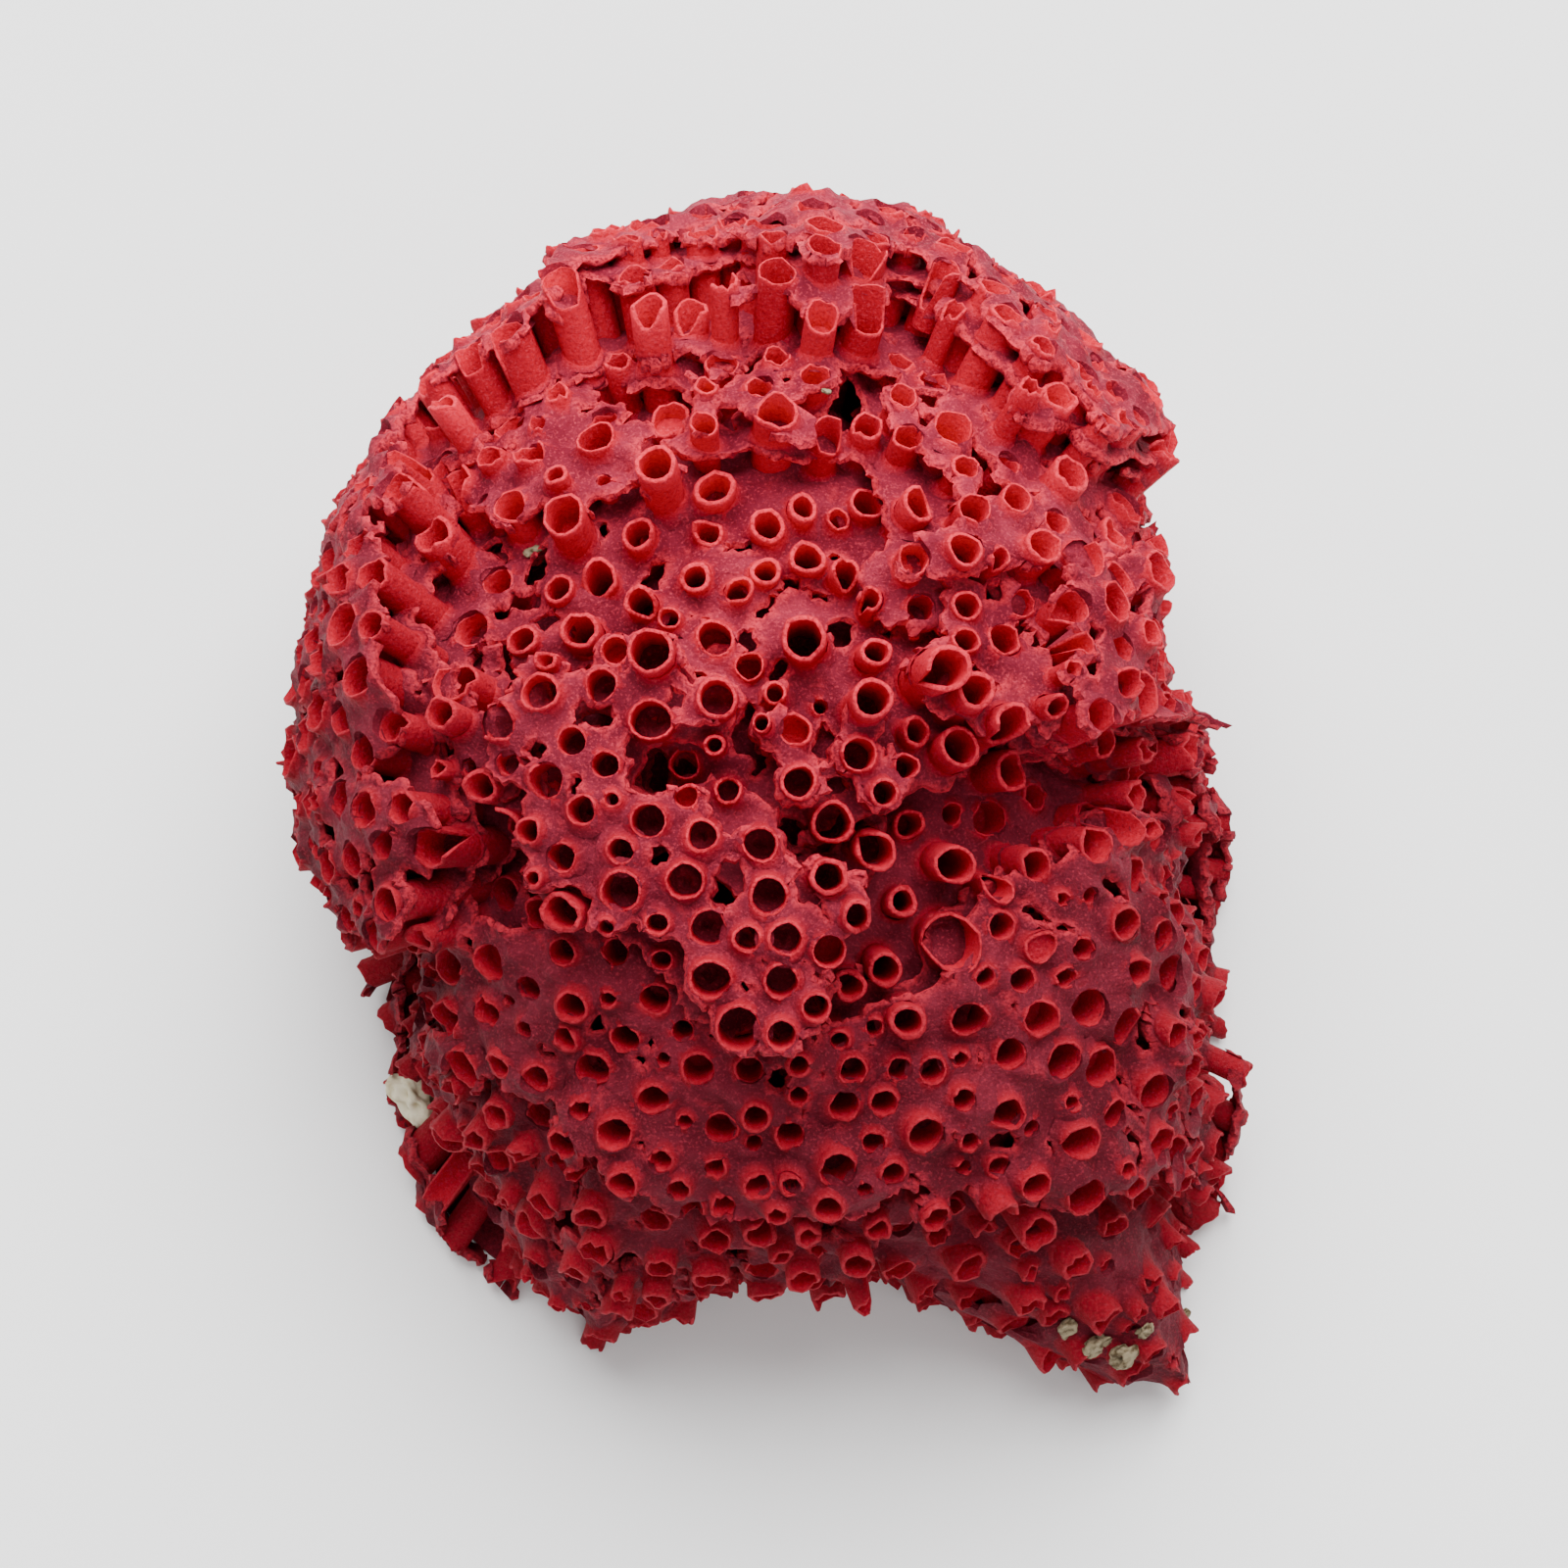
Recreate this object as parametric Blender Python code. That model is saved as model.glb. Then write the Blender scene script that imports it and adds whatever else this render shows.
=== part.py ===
"""A broken piece of organ-pipe coral: a domed colony of upright tubes tied together by thin floors,
cut off flat underneath. Metres, +Z up, the origin on the flat cut.

The colony grows outward from its middle, so its shape is written in the crown frame: x to the right,
u up the crown, w out along the crown axis, which leans towards -Y. Depths are measured inward from
the outermost growth layer, along the way the tubes grow.
"""

import math
import random

import bmesh
import bpy
import numpy as np
from mathutils import Vector, noise

MM = 0.001

# The colony's envelope
CROWN_LEAN = math.radians(20)  # the crown axis from straight up, towards the front
CENTRE_HEIGHT = 8.0 * MM  # middle of the colony above the flat cut
CROWN_HEIGHT = 18.5 * MM  # middle to the envelope, along the crown axis
BACK_HEIGHT = 18.0 * MM  # the same, away from the crown
CROWN_POWER = 2.5  # the crown side is flatter than an ellipsoid
BACK_POWER = 2.0
LAYER_LOSS = 4.0 * MM  # outer growth that has broken off above the middle
LOSS_REACH = 28.0 * MM  # how far up the crown that loss runs out

# The outline seen along the crown axis: angle from the right in degrees, and radius in mm
RIM = [
    (86, 29.2), (73, 29.2), (60, 28.0), (49, 26.0), (38, 25.0), (33, 23.8), (27, 21.4),
    (18, 19.2), (12, 22.6), (2, 22.5), (-8, 22.0), (-22, 23.6), (-35, 26.3), (-43, 29.8),
    (-50, 33.5), (-55, 31.5), (-64, 25.6), (-76, 20.0), (-90, 19.8), (-105, 23.6),
    (-118, 21.0), (-134, 19.5), (-144, 18.0), (-163, 14.8), (-179, 17.0), (163, 19.4),
    (149, 21.8), (132, 24.8), (115, 26.6), (100, 28.0),
]
RIM_FADE = 24  # degrees over which the outline's corners are rounded near the crown
SHARP_FROM, SHARP_TO = math.radians(40), math.radians(80)  # from the crown axis


# Unevenness of the growth layers
SWELL = 0.5 * MM
SWELL_LENGTH = 9.0 * MM

CORE_DEPTH = 9.2 * MM
FLOOR_STEP = 0.3 * MM  # in looking inward for the outermost floor

# Terraces left by the broken floors: depth in mm, and corners in mm as (x, u) along the crown axis
TERRACES = {
    "saddle": (6.9, [(-17, 20), (19, 20), (20, 4), (13, 4), (8, 1), (4, 0), (0, 1), (-6, 1),
                     (-12, -2), (-17, -4)]),
    "chin": (6.2, [(-15.5, -3.5), (-8.5, -4), (-2, -5), (3, -8.5), (5, -7), (7, -8.5), (10, -6),
                   (11.5, -4), (14.5, -1), (17.5, 0), (20, 1), (19, 6), (25, 7), (25, -16.5),
                   (21.5, -16), (18.5, -16.5), (16.5, -17.5), (11.5, -16.5), (7, -17.5),
                   (5.5, -18.5), (0.5, -18), (-4.5, -16.5), (-7.5, -14.5), (-8.5, -12.5),
                   (-11, -11.5), (-16.5, -9.5)]),
    "left_shoulder": (5.0, [(-16, 17.5), (-15, 19.5), (-12.5, 21.5), (-9.5, 21.5), (-6.5, 21),
                            (-3.5, 19), (-2.5, 17), (-4, 15.5), (-7.5, 14), (-9, 15),
                            (-11, 14.5), (-12.5, 16), (-14.5, 15)]),
    "left_cheek": (4.6, [(-15.5, 5), (-14.5, 7), (-12, 6), (-9, 7), (-9, 1), (-12, 2.5),
                         (-13.5, 1), (-15, 2.5)]),
    "nose": (4.4, [(1.5, 4.5), (5, 4.5), (6, 5.5), (7.5, 4.5), (7.5, 2.5), (6, 1.5), (3.5, 1),
                   (2, 2.5)]),
    "right_cheek": (4.2, [(8, 8.5), (8.5, 9.5), (10, 11), (12, 11.5), (14.5, 9.5), (15, 6.5),
                          (14, 5), (11.5, 5), (9.5, 7)]),
    "mid": (3.4, [(-10, 7), (-6.5, 8), (-2.5, 8.5), (0, 6), (-2, 4.5), (-5, 2.5), (-4.5, 1.5),
                  (-2, 1.5), (2, -1), (5, -2), (5.5, -4), (4, -7), (4, -9), (2.5, -10),
                  (-0.5, -10), (-2, -8), (-2.5, -5), (-8.5, -3), (-10, -0.5), (-10.5, 3)]),
    "brow": (3.3, [(-15.5, 18.5), (-14, 20.5), (-11.5, 22.5), (-8.5, 24), (-4.5, 24.5),
                   (-3.5, 23.5), (-4, 22), (-2.5, 21), (-2, 19), (0.5, 18.5), (4, 18.5),
                   (5, 20.5), (5.5, 21.5), (7, 20.5), (7, 18.5), (9, 15.5), (9, 13.5),
                   (7.5, 12), (9, 11.5), (12, 12.5), (15, 13), (17, 11.5), (25, 11.5),
                   (25, 35), (-19, 35)]),
    "right_flank": (2.6, [(15, 11.5), (17, 13), (25, 14), (25, 5), (19, 5.5), (16.5, 5),
                          (15.5, 7), (16, 9)]),
    "left_flank": (2.4, [(-22.5, 19.5), (-15.5, 19.5), (-15, 16), (-16, 13), (-15.5, 10.5),
                         (-16.5, 7.5), (-14.5, 5), (-15, 1.5), (-13.5, -1), (-14.5, -3.5),
                         (-16.5, -5), (-22.5, -5)]),
    "second_step": (1.7, [(-14.5, 21.5), (-11.5, 24), (-8.5, 25.5), (-6.5, 26.5), (-2, 26.5),
                          (-1, 25.5), (1.5, 25.5), (5, 24.5), (6.5, 23.5), (8.5, 24),
                          (10.5, 23), (12, 21), (14.5, 19), (15, 17.5), (17.5, 16), (25, 16),
                          (25, 35), (-16.5, 35)]),
    "crest": (0.0, [(-12.5, 25), (-8.5, 26.5), (-5.5, 27.5), (7.5, 27.5), (9.5, 26.5),
                    (11.5, 25), (13.5, 23), (15.5, 20.5), (17.5, 18.5), (25, 18.5), (25, 35),
                    (-15.5, 35)]),
}
# Terraces around the colony's back and sides, behind the crown: depth in mm, the w in mm that each
# reaches up to at the edge radius, and how far its edge wanders from that
BACK_TERRACES = {"skirt": (4.4, 3.5, 2.5), "hem": (2.2, -2.0, 3.0)}
BACK_EDGE_RADIUS = 22.0 * MM
BACK_SLOPE = 0.3  # the back terraces reach further up at the top of the crown
BACK_WAVES = 14  # corners around the edge of a back terrace
PRISM_REACH = 40.0 * MM  # half the length of the prisms that cut the terraces out
DOME_DETAIL = 3  # subdivisions of the sphere that each growth layer starts as

# Tubes
TUBE_SEED = 7
TUBE_TRIES = 4000
TUBE_RADIUS = 0.92 * MM
BORE_RADIUS = 0.6 * MM
BORE_DEPTH = 1.6 * MM
TUBE_ROOT = 1.8 * MM  # how far a tube's wall reaches into the colony
TUBE_SPACING = 3.4 * MM
BACK_SPACING = 7.0 * MM
STAND_LEAST, STAND_MOST = 0.3 * MM, 1.7 * MM  # how far tubes stand above their floor
RAISED_SHARE = 0.5  # of the mouths, the others are flush with their floor
SIDES = 6
LOWEST_MOUTH = 4.0 * MM  # no tube opens nearer the flat cut than this

# A scrap of pale shell that has grown into the left side, low down
CRUMB_ANGLE = math.radians(-140)
CRUMB_LEAN = math.radians(95)
CRUMB_SIZE = (0.9 * MM, 1.3 * MM, 0.9 * MM)
CRUMB_DEPTH = 5.0 * MM
CRUMB_GAP = 0.3 * MM

CORAL_RED = (0.42, 0.018, 0.024, 1)
SHELL_CREAM = (0.62, 0.56, 0.42, 1)


def rim_tables():
    """The outline's radius at each degree, with its corners and with them rounded off."""
    degrees = np.arange(-180, 180)
    corners = sorted(RIM)
    sharp = np.interp(degrees, [a for a, _ in corners], [r for _, r in corners], period=360)
    apart = np.minimum(np.arange(360), 360 - np.arange(360))
    weight = np.exp(-0.5 * (apart / RIM_FADE) ** 2)
    soft = np.fft.ifft(np.fft.fft(sharp) * np.fft.fft(weight / weight.sum())).real
    return degrees, sharp * MM, soft * MM


DEGREES, SHARP_RIM, SOFT_RIM = rim_tables()


def smooth_step(low, high, value):
    t = np.clip((value - low) / (high - low), 0, 1)
    return t * t * (3 - 2 * t)


def place(lean, turn, depth):
    """Crown-frame points at a depth, and the way the tubes grow there. Lean is the angle from the
    crown axis and turn the angle around it."""
    lean, turn = np.broadcast_arrays(np.asarray(lean, float), np.asarray(turn, float))
    angle = np.degrees(turn)
    soft = np.interp(angle, DEGREES, SOFT_RIM, period=360)
    sharp = np.interp(angle, DEGREES, SHARP_RIM, period=360)
    reach = soft + (sharp - soft) * smooth_step(SHARP_FROM, SHARP_TO, lean)
    out, up = np.sin(lean), np.cos(lean)
    power = np.where(up > 0, CROWN_POWER, BACK_POWER)
    height = np.where(up > 0, CROWN_HEIGHT, BACK_HEIGHT)
    scale = (np.abs(out) ** power + np.abs(up) ** power) ** (-1 / power)
    out, up = out * scale, up * scale
    grow_out = np.abs(out) ** (power - 1) / soft
    grow_up = np.sign(up) * np.abs(up) ** (power - 1) / height
    size = np.hypot(grow_out, grow_up)
    across = np.stack([np.cos(turn), np.sin(turn)])
    point = np.stack([*(across * reach * out), up * height], -1)
    grow = np.stack([*(across * grow_out / size), grow_up / size], -1)
    lost = LAYER_LOSS * (1 - point[..., 1] / LOSS_REACH)
    return point + (lost - depth)[..., None] * grow, grow


def swell(point):
    """Height of the layers' unevenness at a crown-frame point."""
    return SWELL * noise.noise(Vector(point) / SWELL_LENGTH)


def to_world(point):
    x, u, w = point
    c, s = math.cos(CROWN_LEAN), math.sin(CROWN_LEAN)
    return Vector((x, u * c - w * s, u * s + w * c + CENTRE_HEIGHT))


def crown_vector(direction):
    return to_world(direction) - Vector((0, 0, CENTRE_HEIGHT))


def collection(name, shown):
    made = bpy.data.collections.new(name)
    made.hide_render = not shown
    bpy.context.scene.collection.children.link(made)
    return made


def mesh_object(name, made, home):
    """A new object from a bmesh, in a collection."""
    mesh = bpy.data.meshes.new(name)
    made.normal_update()
    bmesh.ops.recalc_face_normals(made, faces=made.faces)
    made.to_mesh(mesh)
    made.free()
    obj = bpy.data.objects.new(name, mesh)
    home.objects.link(obj)
    if home.hide_render:
        obj.hide_render = True
        obj.display_type = "WIRE"
    return obj


def boolean(obj, operation, other, crossing=False):
    """Join or cut. Crossing is for a mesh whose own pieces run through each other."""
    modifier = obj.modifiers.new(operation.title(), "BOOLEAN")
    modifier.operation = operation
    modifier.solver = "EXACT"
    modifier.use_self = crossing
    if isinstance(other, bpy.types.Collection):
        modifier.operand_type = "COLLECTION"
        modifier.collection = other
    else:
        modifier.object = other


def dome(name, depth, home, detail=DOME_DETAIL):
    """A whole growth layer, as a closed lump: a sphere with each vertex moved out to the layer."""
    ball = bmesh.new()
    bmesh.ops.create_icosphere(ball, subdivisions=detail, radius=1)
    for vertex in ball.verts:
        x, u, w = vertex.co
        point, grow = place(math.acos(max(-1, min(1, w))), math.atan2(u, x), depth)
        vertex.co = to_world(point + grow * swell(point))
    return mesh_object(name, ball, home)


def prism(name, corners, home):
    """The column above and below an outline, along the crown axis."""
    column = bmesh.new()
    ring = [column.verts.new(to_world((x * MM, u * MM, -PRISM_REACH))) for x, u in corners]
    base = column.faces.new(ring)
    top = bmesh.ops.extrude_face_region(column, geom=[base])
    moved = [v for v in top["geom"] if isinstance(v, bmesh.types.BMVert)]
    bmesh.ops.translate(column, vec=crown_vector((0, 0, 2 * PRISM_REACH)), verts=moved)
    bmesh.ops.triangulate(column, faces=column.faces)
    return mesh_object(name, column, home)


def back_edge(name, x, u):
    """The w that a back terrace reaches up to, over a point."""
    _, level, wander = BACK_TERRACES[name]
    turn = np.arctan2(u, x) / (2 * math.pi) * BACK_WAVES
    corner = np.floor(turn).astype(int)
    heights = np.random.default_rng(len(name)).uniform(-1, 1, BACK_WAVES)
    here, following = heights[corner % BACK_WAVES], heights[(corner + 1) % BACK_WAVES]
    wave = here + (following - here) * (turn - corner)
    return (level + wander * wave) * MM * np.hypot(x, u) / BACK_EDGE_RADIUS + BACK_SLOPE * u


def back_block(name, home):
    """All the space behind the uneven edge of a back terrace."""
    block = bmesh.new()
    turns = np.arange(BACK_WAVES) * 2 * math.pi / BACK_WAVES
    low = [(math.cos(t) * PRISM_REACH, math.sin(t) * PRISM_REACH, -PRISM_REACH) for t in turns]
    high = [(x, u, back_edge(name, x, u)) for x, u, _ in low]
    low = [block.verts.new(to_world(point)) for point in low]
    high = [block.verts.new(to_world(point)) for point in high]
    middle = block.verts.new(to_world((0, 0, 0)))
    block.faces.new(low)
    for i in range(BACK_WAVES):
        j = (i + 1) % BACK_WAVES
        block.faces.new((low[i], low[j], high[j], high[i]))
        block.faces.new((high[i], high[j], middle))
    bmesh.ops.triangulate(block, faces=block.faces)
    return mesh_object(name, block, home)


def inside(corners, x, u):
    """Which of the points in mm lie within an outline."""
    found = np.zeros(x.shape, bool)
    for (x0, u0), (x1, u1) in zip(corners, corners[1:] + corners[:1]):
        if u0 != u1:
            found ^= ((u0 > u) != (u1 > u)) & (x < x0 + (u - u0) * (x1 - x0) / (u1 - u0))
    return found


def reaches(name, lean, turn, depth):
    """Whether a terrace takes in each point at a depth."""
    point = place(lean, turn, depth)[0]
    if name in BACK_TERRACES:
        return point[..., 2] < back_edge(name, point[..., 0], point[..., 1])
    return inside(TERRACES[name][1], point[..., 0] / MM, point[..., 1] / MM)


def open_floors(lean, turn):
    """Depth of the outermost floor at each place on the colony, and whether it is open to the outside
    rather than under the side of a ledge."""
    best = np.full(lean.shape, np.inf)
    is_open = np.zeros(lean.shape, bool)
    floors = {name: ledge[0] * MM for name, ledge in {**TERRACES, **BACK_TERRACES}.items()}
    for depth in np.arange(0, CORE_DEPTH, FLOOR_STEP):
        for name, floor in floors.items():
            if floor < depth + FLOOR_STEP:
                met = reaches(name, lean, turn, depth) & (best == np.inf)
                best = np.where(met, floor, best)
                is_open |= met & (floor >= depth)
    core = best == np.inf
    return np.where(core, CORE_DEPTH, best), is_open | core


def tube_sites():
    """Places of the tubes, well apart from each other: the mouth on its floor, and the way it grows."""
    chance = np.random.default_rng(TUBE_SEED)
    lean = np.arccos(chance.uniform(-0.75, 1, TUBE_TRIES))
    turn = chance.uniform(-math.pi, math.pi, TUBE_TRIES)
    depths, is_open = open_floors(lean, turn)
    sites = []
    for point, grow in zip(*(found[is_open] for found in place(lean, turn, depths))):
        mouth = to_world(point + grow * swell(point))
        spacing = TUBE_SPACING if point[2] > 0 else BACK_SPACING
        if mouth.z > LOWEST_MOUTH and all((mouth - other).length > spacing for other, _ in sites):
            sites.append((mouth, crown_vector(grow)))
    return sites


def cylinders(name, pieces, home):
    """One object holding many closed cylinders, each (start, end, radius)."""
    made = bmesh.new()
    for start, end, radius in pieces:
        along = end - start
        matrix = along.to_track_quat("Z", "Y").to_matrix().to_4x4()
        matrix.translation = (start + end) / 2
        bmesh.ops.create_cone(
            made, cap_ends=True, segments=SIDES, radius1=radius, radius2=radius,
            depth=along.length, matrix=matrix,
        )
    return mesh_object(name, made, home)


def tubes(cutters):
    """The walls that stand above the floors, and the bores down the middle of each tube."""
    chance = random.Random(TUBE_SEED + 1)
    walls, bores = [], []
    for mouth, grow in tube_sites():
        raised = chance.random() < RAISED_SHARE
        stand = chance.uniform(STAND_LEAST, STAND_MOST) if raised else 0
        if raised:
            walls.append((mouth - grow * TUBE_ROOT, mouth + grow * stand, TUBE_RADIUS))
        floor = mouth + grow * (stand - BORE_DEPTH)
        bores.append((floor, mouth + grow * (stand + BORE_DEPTH), BORE_RADIUS))
    print(len(walls), "raised tubes,", len(bores), "bores")
    return cylinders("tube_walls", walls, cutters), cylinders("tube_bores", bores, cutters)


def crumb(name, home, grown=0.0):
    """A small lump of shell in the colony's side. Grown makes it larger, to cut its seat."""
    lump = bmesh.new()
    bmesh.ops.create_icosphere(lump, subdivisions=2, radius=1)
    point, grow = place(CRUMB_LEAN, CRUMB_ANGLE, CRUMB_DEPTH)
    centre = to_world(point)
    turn = crown_vector(grow).to_track_quat("X", "Y")
    for vertex in lump.verts:
        rough = 1 + 0.25 * noise.noise(vertex.co * 1.7)
        reach = [size * rough + grown for size in CRUMB_SIZE]
        vertex.co = centre + turn @ Vector([c * r for c, r in zip(vertex.co, reach)])
    return mesh_object(name, lump, home)


def ground(home):
    """All the space below the flat cut."""
    block = bmesh.new()
    bmesh.ops.create_cube(block, size=2 * PRISM_REACH)
    bmesh.ops.translate(block, vec=(0, 0, -PRISM_REACH), verts=block.verts)
    return mesh_object("ground", block, home)


def material(name, colour, roughness):
    made = bpy.data.materials.new(name)
    made.use_nodes = True
    shader = made.node_tree.nodes["Principled BSDF"]
    shader.inputs["Base Color"].default_value = colour
    shader.inputs["Roughness"].default_value = roughness
    shader.inputs["Metallic"].default_value = 0
    return made


def build():
    for old in list(bpy.data.objects):
        bpy.data.objects.remove(old)
    shown = collection("organ_pipe_coral", True)
    cutters = collection("cutters", False)
    ledges = collection("ledges", False)

    coral = dome("coral", CORE_DEPTH, shown)
    for name, (depth, corners) in TERRACES.items():
        ledge = dome(name + "_ledge", depth * MM, ledges)
        boolean(ledge, "INTERSECT", prism(name + "_outline", corners, cutters))
    for name, (depth, _, _) in BACK_TERRACES.items():
        ledge = dome(name + "_ledge", depth * MM, ledges)
        boolean(ledge, "INTERSECT", back_block(name, cutters))
    boolean(coral, "UNION", ledges)

    walls, bores = tubes(cutters)
    boolean(coral, "UNION", walls, crossing=True)
    boolean(coral, "DIFFERENCE", bores, crossing=True)
    boolean(coral, "DIFFERENCE", crumb("crumb_seat", cutters, CRUMB_GAP))
    boolean(coral, "DIFFERENCE", ground(cutters))
    coral.data.materials.append(material("coral_red", CORAL_RED, 0.75))

    scrap = crumb("shell_crumb", shown)
    scrap.data.materials.append(material("shell_cream", SHELL_CREAM, 0.6))


build()
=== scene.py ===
"""The look of a broken piece of organ-pipe coral: floors, tubes and a solid heart, all made in the
crown frame of the solids (x right, u up the crown, w out along the crown axis), in millimetres."""

import math
from types import SimpleNamespace

import bmesh
import bpy
import numpy as np
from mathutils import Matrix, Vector


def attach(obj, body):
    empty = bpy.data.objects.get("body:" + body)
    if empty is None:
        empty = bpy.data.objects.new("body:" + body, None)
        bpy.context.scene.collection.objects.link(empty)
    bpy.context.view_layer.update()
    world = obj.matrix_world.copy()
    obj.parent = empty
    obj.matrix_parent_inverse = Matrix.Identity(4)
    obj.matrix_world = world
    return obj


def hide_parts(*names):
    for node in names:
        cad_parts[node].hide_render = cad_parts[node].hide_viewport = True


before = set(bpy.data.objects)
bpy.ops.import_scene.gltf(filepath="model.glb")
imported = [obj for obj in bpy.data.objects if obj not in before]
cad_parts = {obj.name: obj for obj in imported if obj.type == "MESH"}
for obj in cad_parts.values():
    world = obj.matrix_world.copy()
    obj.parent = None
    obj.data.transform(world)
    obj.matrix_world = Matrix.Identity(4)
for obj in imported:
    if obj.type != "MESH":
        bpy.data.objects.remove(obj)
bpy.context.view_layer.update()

MM = 0.001

# The colony's form, as in the solids
CROWN_LEAN = math.radians(20)
CENTRE_HEIGHT = 8.0
CROWN_HEIGHT = 18.5
BACK_HEIGHT = 18.0
CROWN_POWER = 2.5
BACK_POWER = 2.0
LAYER_LOSS = 4.0  # outer growth that has broken off above the middle
LOSS_REACH = 28.0  # how far up the crown that loss runs out
# How far out the dome reaches around the crown axis: degrees, mm
RIM = [
    (86, 29.2), (73, 29.2), (60, 28.0), (49, 26.0), (38, 25.0), (33, 23.8), (27, 21.4),
    (18, 19.2), (12, 22.6), (2, 22.5), (-8, 22.0), (-22, 23.6), (-35, 26.3), (-43, 29.8),
    (-50, 33.5), (-55, 31.5), (-64, 25.6), (-76, 20.0), (-90, 19.8), (-105, 23.6),
    (-118, 21.0), (-134, 19.5), (-144, 18.0), (-163, 14.8), (-179, 17.0), (163, 19.4),
    (149, 21.8), (132, 24.8), (115, 26.6), (100, 28.0),
]
RIM_FADE = 24  # degrees over which the outline's corners are rounded near the crown
SHARP_FROM, SHARP_TO = math.radians(40), math.radians(80)
CHART_LIMIT = 1.985  # just short of the chart's outer circle, where all directions meet
SEEN_FROM = 200.0  # the outlines are as seen from this far out along the crown axis
AIM = (2.5, 2.3)  # the x and u that the camera looks at
FRAME_WIDTH = 72.7  # mm across the picture at the middle of the colony

# The broken floors: depth, and the outline seen in the picture
TERRACES = {
    "saddle": (6.9, [
        (-17, 20), (19, 20), (20, 4), (13, 4), (8, 1), (4, 0), (0, 1), (-6, 1), (-12, -2), (-17, -4),
    ]),
    "chin": (6.2, [
        (-15.5, -3.5), (-8.5, -4), (-2, -5), (3, -8.5), (5, -7), (7, -8.5), (10, -6), (11.5, -4),
        (14.5, -1), (17.5, 0), (20, 1), (19, 6), (25, 7), (25, -16.5), (21.5, -16), (18.5, -16.5),
        (16.5, -17.5), (11.5, -16.5), (7, -17.5), (5.5, -18.5), (0.5, -18), (-4.5, -16.5),
        (-7.5, -14.5), (-8.5, -12.5), (-11, -11.5), (-16.5, -9.5),
    ]),
    "left_shoulder": (5.0, [
        (-16, 17.5), (-15, 19.5), (-12.5, 21.5), (-9.5, 21.5), (-6.5, 21), (-3.5, 19), (-2.5, 17),
        (-4, 15.5), (-7.5, 14), (-9, 15), (-11, 14.5), (-12.5, 16), (-14.5, 15),
    ]),
    "left_cheek": (4.6, [
        (-15.5, 5), (-14.5, 7), (-12, 6), (-9, 7), (-9, 1), (-12, 2.5), (-13.5, 1), (-15, 2.5),
    ]),
    "nose": (4.4, [
        (1.5, 4.5), (5, 4.5), (6, 5.5), (7.5, 4.5), (7.5, 2.5), (6, 1.5), (3.5, 1), (2, 2.5),
    ]),
    "right_cheek": (4.2, [
        (8, 8.5), (8.5, 9.5), (10, 11), (12, 11.5), (14.5, 9.5), (15, 6.5), (14, 5), (11.5, 5),
        (9.5, 7),
    ]),
    "mid": (3.4, [
        (-10, 7), (-6.5, 8), (-2.5, 8.5), (0, 6), (-2, 4.5), (-5, 2.5), (-4.5, 1.5), (-2, 1.5),
        (2, -1), (5, -2), (5.5, -4), (4, -7), (4, -9), (2.5, -10), (-0.5, -10), (-2, -8), (-2.5, -5),
        (-8.5, -3), (-10, -0.5), (-10.5, 3),
    ]),
    "brow": (3.3, [
        (-15.5, 18.5), (-14, 20.5), (-11.5, 22.5), (-8.5, 24), (-4.5, 24.5), (-3.5, 23.5), (-4, 22),
        (-2.5, 21), (-2, 19), (0.5, 18.5), (4, 18.5), (5, 20.5), (5.5, 21.5), (7, 20.5), (7, 18.5),
        (9, 15.5), (9, 13.5), (7.5, 12), (9, 11.5), (12, 12.5), (15, 13), (17, 11.5), (25, 11.5),
        (25, 35), (-19, 35),
    ]),
    "right_flank": (2.6, [
        (15, 11.5), (17, 13), (25, 14), (25, 5), (19, 5.5), (16.5, 5), (15.5, 7), (16, 9),
    ]),
    "left_flank": (2.4, [
        (-22.5, 19.5), (-15.5, 19.5), (-15, 16), (-16, 13), (-15.5, 10.5), (-16.5, 7.5), (-14.5, 5),
        (-15, 1.5), (-13.5, -1), (-14.5, -3.5), (-16.5, -5), (-22.5, -5),
    ]),
    "second_step": (1.5, [
        (-14, 20.8), (-12, 22.3), (-9.5, 23.3), (-8, 24.1), (-7, 24.8), (-6.2, 26), (-5, 26.7),
        (-1, 26.4), (1, 25.7), (2.5, 25.4), (5.3, 25.9), (7.5, 25.3), (9.2, 24.4), (11.4, 23.6),
        (13, 22), (15, 20), (16.5, 18), (18, 16.5), (25, 16), (25, 35), (-17, 35),
    ]),
    "crest": (0.0, [
        (-8.6, 25.7), (-7.2, 26.1), (-5.6, 26.8), (-4.2, 27.2), (-2.4, 27.6), (0, 27.5), (4, 26.9),
        (7, 27.2), (9.5, 26.4), (11.8, 24.8), (13.6, 22.8), (15.6, 20.5), (17.6, 18.4), (25, 18.4),
        (25, 35), (-9, 35),
    ]),
    "jaw": (7.3, [
        (-18, -9), (-11, -11), (-8, -12), (-7, -14), (-4, -16), (0.5, -17.5), (5.5, -18), (6, -24),
        (-6, -24), (-22, -18),
    ]),
}
# The floors that are whole behind: depth, how high their edge lies there, and how far it wanders
BACK_TERRACES = {"skirt": (4.4, 3.5, 2.5), "hem": (2.2, -3.0, 3.0)}
BACK_EDGE_RADIUS = 22.0
BACK_SLOPE = 0.3
BACK_WAVES = 14
SCAR, SCAR_WANDER, SCAR_LENGTH = 2.6, 3.0, 17.0  # where they have broken away in patches
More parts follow.
